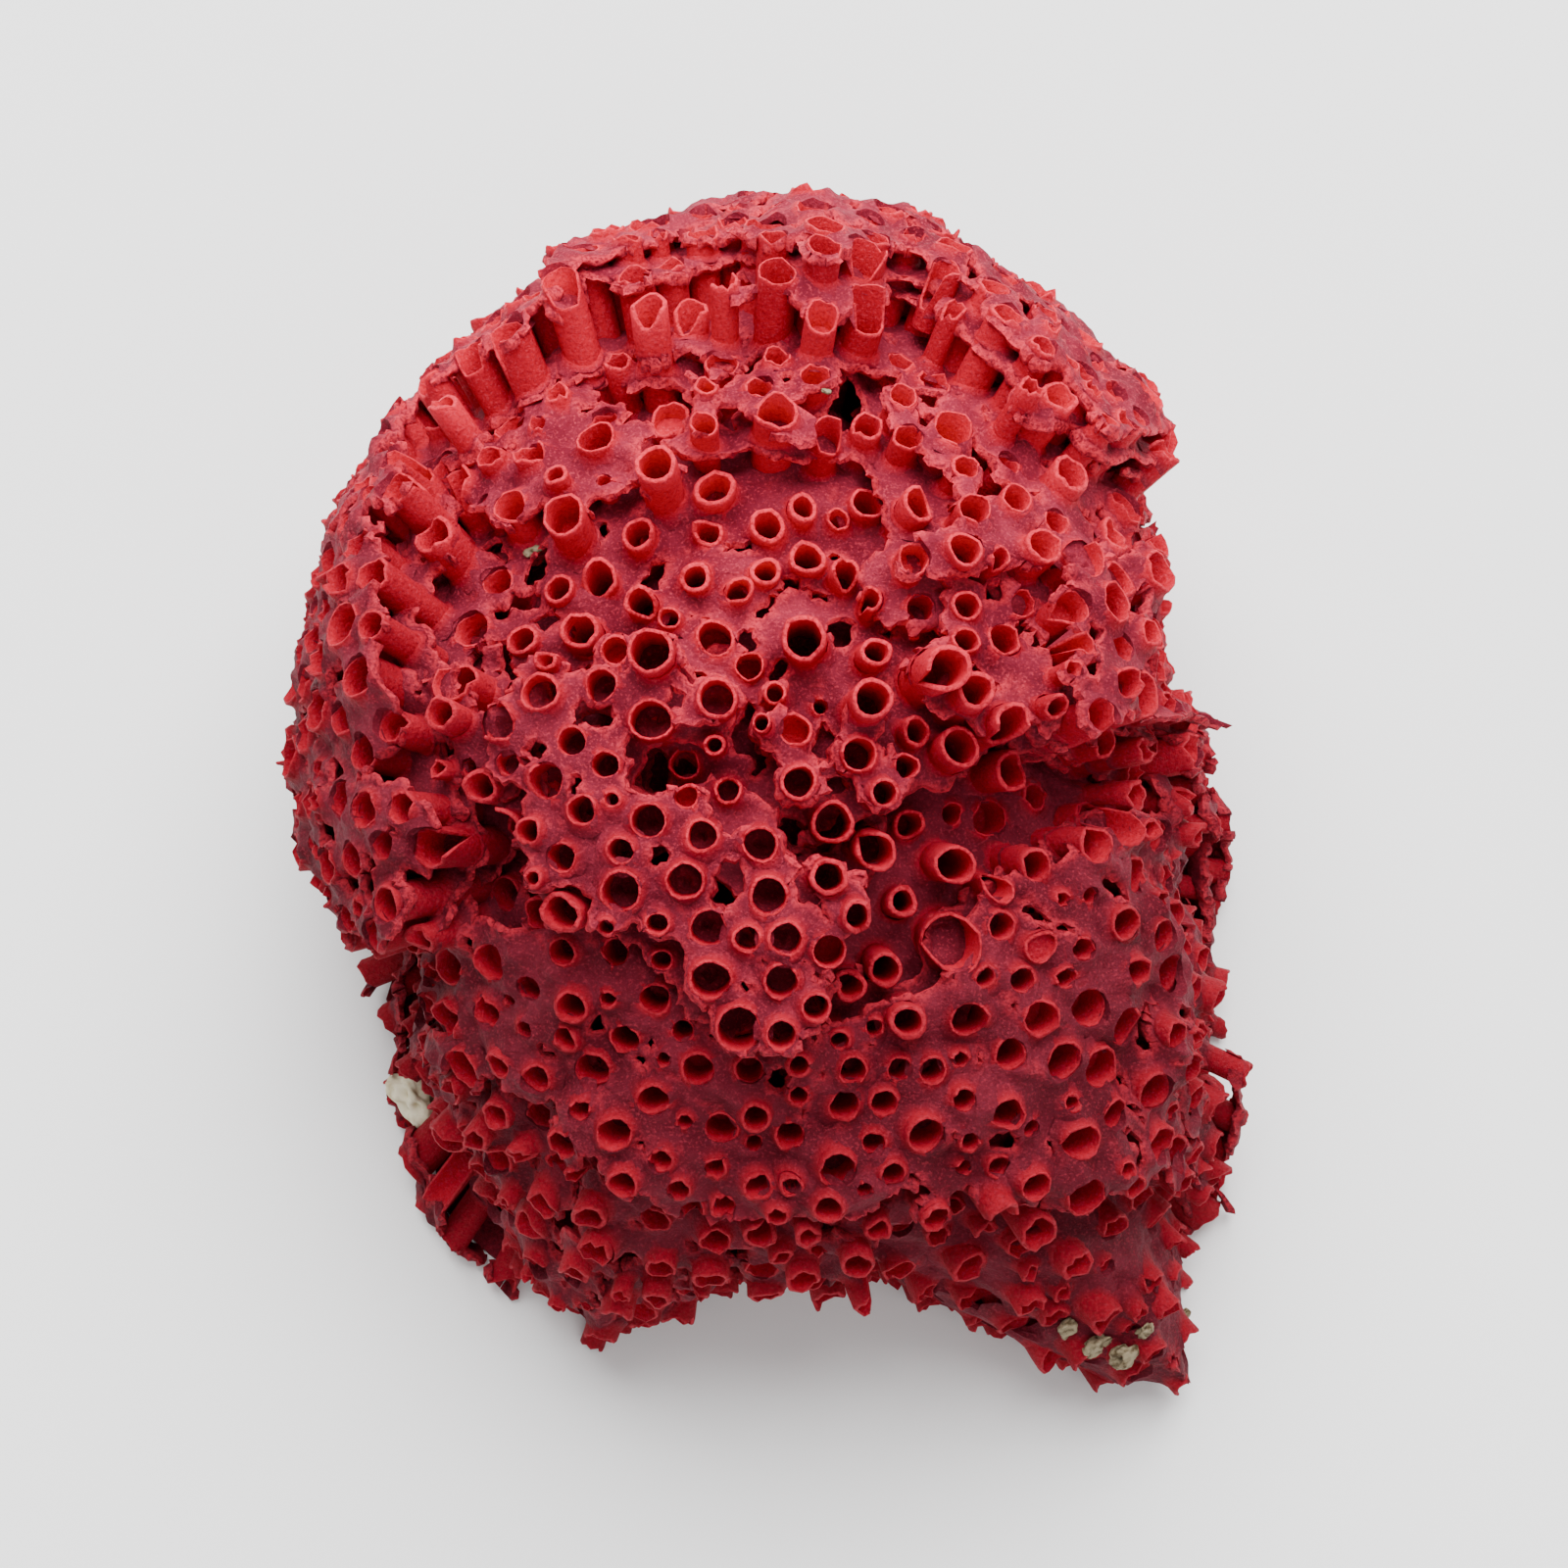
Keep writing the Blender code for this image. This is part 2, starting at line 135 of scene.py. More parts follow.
# Where a floor lies deeper: along x (0) or u (1), from where to where, and how much
DEEPER = {"crest": (0, 0.3, -0.3, 0.3), "second_step": (0, -9, -6, 0.7), "brow": (1, 21, 24, 0.8)}
CORE_DEPTH = 9.2
HEART_DEPTH = 12.5
HEART_CELLS = 80
FOOT_THICK = 0.35  # the flat cut underneath
FOOT_BAND = 0.4  # how near the ground a floor counts as ending at the cut
FOOT_INSET = 0.5
FOOT_CORNERS = 120
LOWEST = 0.05  # nothing but the cut itself comes nearer the ground

# Floors
CHART_EDGE = 1.93
CELLS = 400
MARGIN_CELLS = 12  # how far each floor goes on, out of sight under the one above it
LACE_MARGIN_CELLS = 6
NEAR_CELLS = 20  # how far around it a tube shapes a floor
# Towards the top these floors go on behind the others, so that no light comes through there
BACKING = ["crest", "second_step", "brow"]
BACKING_FROM, BACKING_TO = math.radians(50), math.radians(105)
BACKING_ABOVE = 12  # in u
BACK_REACH = {"crest": -3.0, "second_step": -5.0}  # how far down the back these go, in w
REACH_WANDER, REACH_LENGTH = 2.0, 7.0
FLOOR_THICK = 0.34
# Waves that all floors share, in their depth and along their edges: seed, length, size
SWELL = [(1, 9.0, 0.22), (2, 4.5, 0.14), (6, 1.8, 0.09)]
RAGGED = [(3, 3.2, 0.28), (4, 1.3, 0.09), (5, 0.65, 0.04)]
OWN_SWELL, OWN_LENGTH = 0.12, 6.0  # and in the depth of each floor by itself
LEAST_FACING = 0.35
LIFT = 0.34  # how far a floor rises to meet a tube, and over what distance
LIFT_REACH = 0.36
LIP = FLOOR_THICK / 2 + LIFT  # a floor's top where it meets a tube
NO_EDGE = 50.0
# Flakes are left out: a patch with fewer faces, or one with no tube within reach unless it's large
FLAKE_FACES, FLAKE_REACH, FREE_FACES = 14, 0.12, 1500
# The share of its faces that a floor's shape needs
FACES_KEPT = {"core": 0.26, "low_ledge": 0.28, "hem": 0.3, "skirt": 0.28, "others": 0.34}

# How worn through each floor is: the size of its holes in mm, and how rare they are
LACE = {
    "saddle": (2.0, 2.2), "chin": (2.2, 2.3), "left_shoulder": (2.0, 1.6), "left_cheek": (1.9, 1.4),
    "nose": (1.9, 1.8), "right_cheek": (1.9, 1.4), "mid": (2.2, 1.6), "brow": (2.4, 1.5),
    "right_flank": (2.6, 1.2), "left_flank": (2.6, 1.4), "second_step": (2.4, 1.3),
    "crest": (2.4, 1.8), "jaw": (2.0, 1.5), "skirt": (2.8, 1.5), "hem": (2.8, 1.5),
}
LACE_SLOPE = 0.35
# A broken or worn floor lasts longest between neighbouring tubes: how wide these webs are in mm, how
# far they go on beyond its edge, and how far in it has broken away between them
WEB = 1.0
WEB_BEYOND, WEB_BEFORE = 0.7, 0.5
COLLAR = (0.02, 0.22)  # what is left around a tube at a broken edge

# Ledges left on the tall cliffs: depth, the floors above it that it clings to (by depth), width
LEDGES = {"upper_ledge": (1.3, 0.5, 0.7), "ledge": (5.1, 3.6, 0.6), "low_ledge": (7.9, 6.5, 0.5)}
LEDGE_BACK = 2.6  # how far a ledge goes on under the floor above it

# A scrap of pale shell that has grown into the left side, low down
CRUMB_TURN, CRUMB_LEAN, CRUMB_DEPTH = math.radians(-140), math.radians(95), 5.0
CRUMB_SIZE = (1.0, 1.15, 1.6)  # out, across, up
CRUMB_SEAT, CRUMB_ROOM = 1.15, 0.5
CRUMB_HOLLOWS = [(0.35, 0.9, 0.45), (0.1, 0.9, -0.4), (0.9, 0.5, -0.1), (-0.6, 0.7, 0.1)]
GRIT_UNEVEN = 2.2  # grit is this much rougher than the crumb
# Scraps of grit on the coral: x, u, size
GRIT = [
    (-9.3, 13.2, 0.42), (-8.9, 12.8, 0.27), (15.9, -23.2, 0.8), (17.0, -24.0, 1.1), (18.5, -24.4, 0.9),
    (19.4, -23.2, 0.6), (21.4, -22.6, 0.7), (6.2, 7.9, 0.16), (4.5, 20.7, 0.2),
]

MOUTH_HEIGHT = 0.3  # how far above its floor a mouth is taken to be
# Places beside the outline where no tube has its mouth: x, u, half-width, half-height, turn
BARE = [(24.9, -18.5, 2.3, 6.0, 0), (22.8, -25.8, 1.6, 1.8, 0)]

GAPS_BEHIND = -0.5  # how far behind the outline the gaps go on, as the w of the tubes' direction
# Places in the floors that have broken right through: floor, x, u, half-width, half-height, turn
GAPS = [
    ("hem", -12.5, -15.0, 7.5, 6.8, 0),
    ("hem", 24.2, -17.8, 3.4, 4.4, 0),
    ("skirt", 24.9, -18.2, 2.5, 4.2, 0),
    ("skirt", 23.4, -26.4, 3.4, 3.4, 0),
    ("core", 23.4, -26.4, 3.4, 3.4, 0),
    ("saddle", 0.8, 4.9, 1.6, 0.45, -15),
    ("saddle", -4.6, 2.6, 1.2, 0.5, 10),
    ("saddle", 7.6, 15.2, 0.9, 0.8, 60),
    ("chin", 5.6, -6.4, 1.2, 1.6, 50),
    ("saddle", 12.0, 0.9, 1.3, 0.5, 0),
]

WINDOW_DEPTHS, WINDOW_ROOM = (0, 1.2, 2.4), (0.1, 0.3)  # how far down and around no tube stands in one
# Places at the rim where the light comes right through: the same values without a floor
WINDOWS = [
    (17.8, 16.9, 0.7, 0.3, 28), (19.1, 14.2, 0.75, 0.26, 22), (-15.8, 11.7, 0.35, 0.3, 0),
    (-13.4, -8.8, 0.5, 0.45, 0), (21.9, -11.2, 0.8, 0.55, 5),
]

# Tubes
SEED = 11
TUBE_TRIES = 30000
TUBE_SIZE, TUBE_SPREAD, TUBE_RANGE = 0.80, 0.11, (0.55, 1.02)  # outer radius
SMALL_SHARE, SMALL_RANGE = 0.05, (0.4, 0.55)
FIRST_SIZE, LAST_SIZE = 1.04, 0.84  # the last ones fit in between
# The room left between tubes on each floor
TUBE_GAP = {"saddle": 0.75, "brow": 0.35, "core": 0.3, "left_shoulder": 0.45, "skirt": 0.3, "hem": 0.3}
OTHER_GAP = 0.16
WIDER = {"left_flank": 1.12, "right_flank": 1.12}
SIDES = 14
WALL = 0.15
STANDING_WALL = 0.21
STRAY = 0.5  # how far beyond its floor's edge a tube may stand
ON_FLOOR = -0.2  # how far inside a floor's edge a marked place counts as on it
SHALLOW, MARKED_SHALLOW = 1.2, 2.6  # the least that a tube goes below its floor


def rim_tables():
    """How far out the rim is at each degree, as it is and smoothed."""
    degrees = np.arange(-180, 180)
    corners = sorted(RIM)
    sharp = np.interp(degrees, [a for a, _ in corners], [r for _, r in corners], period=360)
    apart = np.minimum(np.arange(360), 360 - np.arange(360))
    weight = np.exp(-0.5 * (apart / RIM_FADE) ** 2)
    soft = np.fft.ifft(np.fft.fft(sharp) * np.fft.fft(weight / weight.sum())).real
    return degrees, sharp, soft


DEGREES, SHARP_RIM, SOFT_RIM = rim_tables()


def smooth_step(low, high, value):
    """From 0 at the low value to 1 at the high one."""
    t = np.clip((value - low) / (high - low), 0, 1)
    return t * t * (3 - 2 * t)


def place(lean, turn, depth):
    """Crown-frame points at a depth, and the way the tubes grow there."""
    lean, turn = np.broadcast_arrays(np.asarray(lean, float), np.asarray(turn, float))
    angle = np.degrees(turn)
    soft = np.interp(angle, DEGREES, SOFT_RIM, period=360)
    sharp = np.interp(angle, DEGREES, SHARP_RIM, period=360)
    reach = soft + (sharp - soft) * smooth_step(SHARP_FROM, SHARP_TO, lean)
    out, up = np.sin(lean), np.cos(lean)
    power = np.where(up > 0, CROWN_POWER, BACK_POWER)
    height = np.where(up > 0, CROWN_HEIGHT, BACK_HEIGHT)
    scale = (np.abs(out) ** power + np.abs(up) ** power) ** (-1 / power)
    out, up = out * scale, up * scale
    grow_out = np.abs(out) ** (power - 1) / soft
    grow_up = np.sign(up) * np.abs(up) ** (power - 1) / height
    size = np.hypot(grow_out, grow_up)
    across = np.stack([np.cos(turn), np.sin(turn)])
    point = np.stack([*(across * reach * out), up * height], -1)
    grow = np.stack([*(across * grow_out / size), grow_up / size], -1)
    lost = LAYER_LOSS * (1 - point[..., 1] / LOSS_REACH)
    return point + (lost - depth)[..., None] * grow, grow


def chart_angles(a, b):
    """The chart is an equal-area map of the directions out of the colony, centred on the crown."""
    rho = np.minimum(np.hypot(a, b), CHART_LIMIT)
    return 2 * np.arcsin(rho / 2), np.arctan2(b, a)


def world_height(point):
    """How high a crown-frame point lies above the cut."""
    return point[..., 1] * math.sin(CROWN_LEAN) + point[..., 2] * math.cos(CROWN_LEAN) + CENTRE_HEIGHT


def to_world(point):
    """Crown-frame points in metres in the shared frame, none below the cut."""
    c, s = math.cos(CROWN_LEAN), math.sin(CROWN_LEAN)
    x, u, w = point[..., 0], point[..., 1], point[..., 2]
    z = np.maximum(u * s + w * c + CENTRE_HEIGHT, LOWEST)
    return np.stack([x, u * c - w * s, z], -1) * MM


class Waves:
    """Smooth random unevenness in space, with a spread of about 1."""

    def __init__(self, seed, length, count=14):
        chance = np.random.default_rng(seed)
        way = chance.normal(size=(count, 3))
        way /= np.linalg.norm(way, axis=1)[:, None]
        self.rate = way * 2 * np.pi / (length * chance.uniform(0.7, 1.4, (count, 1)))
        self.phase = chance.uniform(0, 2 * np.pi, count)
        self.size = math.sqrt(2 / count)

    def __call__(self, point):
        return np.sin(point @ self.rate.T + self.phase).sum(-1) * self.size


AXIS = np.linspace(-CHART_EDGE, CHART_EDGE, CELLS + 1)
STEP = AXIS[1] - AXIS[0]
GRID_A, GRID_B = np.meshgrid(AXIS, AXIS, indexing="ij")
LEAN, TURN = chart_angles(GRID_A, GRID_B)
ON_CHART = np.hypot(GRID_A, GRID_B) < CHART_EDGE
SURFACE, GROWTH = place(LEAN, TURN, 0.0)
# Behind, each floor goes on straight down from where it comes over the side
FRONT, FRONT_GROWTH = place(np.minimum(LEAN, math.pi / 2), TURN, 0.0)
CRUMB, CRUMB_OUT = place(CRUMB_LEAN, CRUMB_TURN, CRUMB_DEPTH)


def sample(grid, a, b):
    """A grid's value between its points."""
    x = np.clip((a - AXIS[0]) / STEP, 0, CELLS - 1e-6)
    y = np.clip((b - AXIS[0]) / STEP, 0, CELLS - 1e-6)
    i, j = x.astype(int), y.astype(int)
    x, y = x - i, y - j
    if grid.ndim == 3:
        x, y = x[..., None], y[..., None]
    low = grid[i, j] * (1 - x) + grid[i + 1, j] * x
    high = grid[i, j + 1] * (1 - x) + grid[i + 1, j + 1] * x
    return low * (1 - y) + high * y


def seen(point):
    """Where a crown-frame point appears in the picture, as x and u in mm at the colony's middle."""
    near = SEEN_FROM / (SEEN_FROM - point[..., 2])
    return AIM[0] + (point[..., 0] - AIM[0]) * near, AIM[1] + (point[..., 1] - AIM[1]) * near


def outline_distance(corners, x, u):
    """Distance inside an outline, negative outside it."""
    best = np.full(x.shape, np.inf)
    inside = np.zeros(x.shape, bool)
    for (x0, u0), (x1, u1) in zip(corners, corners[1:] + corners[:1]):
        dx, du = x1 - x0, u1 - u0
        t = np.clip(((x - x0) * dx + (u - u0) * du) / (dx * dx + du * du), 0, 1)
        best = np.minimum(best, (x - x0 - t * dx) ** 2 + (u - u0 - t * du) ** 2)
        if du:
            inside ^= ((u0 > u) != (u1 > u)) & (x < x0 + (u - u0) * dx / du)
    return np.where(inside, 1, -1) * np.sqrt(best)


def back_edge(name, x, u):
    """How high a floor's broken edge lies behind, around the colony."""
    _, level, wander = BACK_TERRACES[name]
    turn = np.arctan2(u, x) / (2 * math.pi) * BACK_WAVES
    corner = np.floor(turn).astype(int)
    heights = np.random.default_rng(len(name)).uniform(-1, 1, BACK_WAVES)
    here, following = heights[corner % BACK_WAVES], heights[(corner + 1) % BACK_WAVES]
    wave = here + (following - here) * (turn - corner)
    return (level + wander * wave) * np.hypot(x, u) / BACK_EDGE_RADIUS + BACK_SLOPE * u


# How the floors swell, how ragged their edges are, and how squarely they face the picture
swell = sum(Waves(seed, length)(SURFACE) * size for seed, length, size in SWELL)
ragged = sum(Waves(seed, length)(SURFACE) * size for seed, length, size in RAGGED)
facing = np.clip(GROWTH[..., 2], LEAST_FACING, 1)


def ellipse_distance(point, x, u, half_width, half_height, turn):
    """Distance outside an ellipse in the picture, as a share of its half sizes."""
    px, pu = seen(point)
    c, s = math.cos(math.radians(turn)), math.sin(math.radians(turn))
    dx, du = (px - x) * c + (pu - u) * s, (pu - u) * c - (px - x) * s
    return np.hypot(dx / half_width, du / half_height) - 1


class Floor:
    """One broken floor of the colony: its depth and how far inside its edge, over the chart."""

    def __init__(self, name, depth):
        self.name = name
        self.base = depth
        self.depth = depth + swell + Waves(len(name) + 60, OWN_LENGTH)(SURFACE) * OWN_SWELL
        if name in DEEPER:
            along, low, high, extra = DEEPER[name]
            self.depth = self.depth + extra * smooth_step(low, high, SURFACE[..., along])
        point = SURFACE - self.depth[..., None] * GROWTH
        if name in TERRACES:
            front = FRONT - self.depth[..., None] * FRONT_GROWTH
            edge = outline_distance(TERRACES[name][1], *seen(front)) / facing
            if name in BACK_REACH:
                wander = REACH_WANDER * Waves(len(name) + 70, REACH_LENGTH)(SURFACE)
                edge = np.minimum(edge, point[..., 2] - BACK_REACH[name] + wander)
        elif name in BACK_TERRACES:
            edge = back_edge(name, point[..., 0], point[..., 1]) - point[..., 2]
            scar = SCAR + SCAR_WANDER * Waves(len(name) + 80, SCAR_LENGTH)(SURFACE)
            edge = np.minimum(edge, scar)
        else:
            edge = np.full(LEAN.shape, NO_EDGE)
        edge = edge + ragged
        for where, *gap in GAPS:
            if where == name:
                out = ellipse_distance(point, *gap) * min(gap[2:4])
                out = np.where(GROWTH[..., 2] > GAPS_BEHIND, out, NO_EDGE)
                edge = np.minimum(edge, out + 0.6 * ragged)
        seat = np.linalg.norm(point - CRUMB, axis=-1) - CRUMB_SEAT
        self.edge = np.minimum(np.minimum(edge, seat), NO_EDGE)
        self.window = np.full(LEAN.shape, NO_EDGE)
        for window in WINDOWS:
            out = ellipse_distance(point, *window) * min(window[2:4])
            self.window = np.minimum(self.window, out + 0.1 * ragged)
        self.height = world_height(point)
        self.surface = point
        self.lace = np.full(LEAN.shape, NO_EDGE)
        if name in LACE:
            length, rarity = LACE[name]
            seed = 100 + 2 * list(LACE).index(name)
            wear = Waves(seed, length)(point) + 0.5 * Waves(seed + 1, 9.0)(point)
            self.lace = (rarity - wear) * LACE_SLOPE + 0.25 * ragged


FLOORS = [Floor(name, entry[0]) for name, entry in {**TERRACES, **BACK_TERRACES}.items()]
FLOORS.append(Floor("core", CORE_DEPTH))
for name, (depth, clings_to, width) in LEDGES.items():
    ledge = Floor(name, depth)
    above = np.max([floor.edge for floor in FLOORS if floor.base <= clings_to], axis=0)
    reach = width + 0.8 * Waves(len(name) + 90, 5.0)(SURFACE)
    ledge.edge = np.minimum(above + reach + 0.5 * ragged, LEDGE_BACK - above)
    FLOORS.append(ledge)
FLOORS.sort(key=lambda floor: floor.base)


def spread(mask, cells):
    """A mask grown outward by some cells."""
    for step in range(cells):
        grown = mask.copy()
        grown[1:] |= mask[:-1]
        grown[:-1] |= mask[1:]
        grown[:, 1:] |= mask[:, :-1]
        grown[:, :-1] |= mask[:, 1:]
        if step % 2:
            grown[1:, 1:] |= mask[:-1, :-1]
            grown[:-1, :-1] |= mask[1:, 1:]
            grown[1:, :-1] |= mask[:-1, 1:]
            grown[:-1, 1:] |= mask[1:, :-1]
        mask = grown
    return mask


def covered_above(floor):
    """Where a floor is out of sight under whole parts of the floors above it."""
    above = np.zeros(LEAN.shape, bool)
    for other in FLOORS:
        if other is floor:
            break
        above |= (other.edge > WEB_BEFORE) & (other.lace > WEB_BEFORE)
    return above


covered = np.zeros(LEAN.shape, bool)
pierced = np.zeros(LEAN.shape, bool)
for floor in FLOORS:
    present = floor.edge > 0
    floor.hidden = ~spread(present & ~covered_above(floor) & ON_CHART, 2)
    floor.lace = np.where(floor.hidden, NO_EDGE, floor.lace)
    whole = present & (floor.lace > WEB_BEFORE)
    floor.kept = spread(present & ~covered & ON_CHART, MARGIN_CELLS)
    floor.kept |= spread(present & pierced & ON_CHART, LACE_MARGIN_CELLS)
    if floor.name in BACKING:
        backing = (LEAN > BACKING_FROM) & (LEAN < BACKING_TO) & (SURFACE[..., 1] > BACKING_ABOVE)
        floor.kept |= present & backing
    pierced = (pierced & ~whole) | (present & ~whole & ~covered)
    covered |= present


# The tubes' places
def chart_of(x, u, floor, above):
    """The chart place of a tube that ends this far above a floor, and is seen at x and u."""
    px, pu = seen(floor.surface + above * GROWTH)
    away = np.where(GROWTH[..., 2] > 0.02, np.hypot(px - x, pu - u), np.inf)
    i, j = np.unravel_index(np.argmin(away), away.shape)
    i, j = int(np.clip(i, 1, CELLS - 1)), int(np.clip(j, 1, CELLS - 1))
    jac = np.array([
        [px[i + 1, j] - px[i - 1, j], px[i, j + 1] - px[i, j - 1]],
        [pu[i + 1, j] - pu[i - 1, j], pu[i, j + 1] - pu[i, j - 1]],
    ]) / (2 * STEP)
    move = np.linalg.solve(jac, np.array([x - px[i, j], u - pu[i, j]]))
    move = np.clip(move, -1.5 * STEP, 1.5 * STEP)
    return AXIS[i] + move[0], AXIS[j] + move[1]


def floor_at_mark(x, u, above):
    """The outermost floor that has a place seen at x and u, and that place on the chart."""
    for floor in FLOORS:
        a, b = chart_of(x, u, floor, above)
        if sample(floor.edge, np.array(a), np.array(b)) > ON_FLOOR:
            break
    return floor, a, b


def nearest_cell(a, b):
    """The grid point nearest to each chart place."""
    return tuple(np.clip(((v - AXIS[0]) / STEP + 0.5).astype(int), 0, CELLS) for v in (a, b))


# On each floor, the share of tubes that stand up, and how high the tallest of those is
STANDING = {
    "saddle": (0.8, 1.4), "core": (0.7, 1.2), "chin": (0.2, 0.5), "mid": (0.3, 0.6),
    "left_cheek": (0.5, 0.9), "right_cheek": (0.6, 1.2), "left_shoulder": (0.4, 0.8),
    "nose": (0.4, 0.6), "upper_ledge": (0.5, 0.8), "ledge": (0.7, 1.0), "low_ledge": (0.6, 0.8),
    "crest": (0.1, 0.25), "second_step": (0.15, 0.4), "left_flank": (0.15, 0.3),
    "right_flank": (0.15, 0.3), "jaw": (0.6, 1.3), "hem": (0.1, 0.25), "skirt": (0.15, 0.3),
    "others": (0.25, 0.45),
}
STANDS = 0.15  # a rim higher than this above its floor stands up
TALLEST = 3.2
# Tubes this near a higher floor's edge often reach up towards it, as that floor has broken off them
CLIFF, CLIFF_SHARE, CLIFF_REACH = 2.0, 0.6, (0.35, 1.0)
LOW_RIM = (-0.26, 0.08)  # the other rims are this far above their floor's top
# Where tubes stand lower towards the sides, and how much
SHORT_FROM, SHORT_TO, SHORTER = math.radians(50), math.radians(85), 0.5
LEAST_LIFT = 0.2  # the least share of a floor's usual lift at a low rim
TUBE_DEPTH, THROUGH = 2.4, 0.4  # how far a tube goes below its own floor, and below the last one it meets
# In place of a height: it is still to be drawn, or the tube has grown shut
UNMARKED, CLOSED = -1.0, -0.1

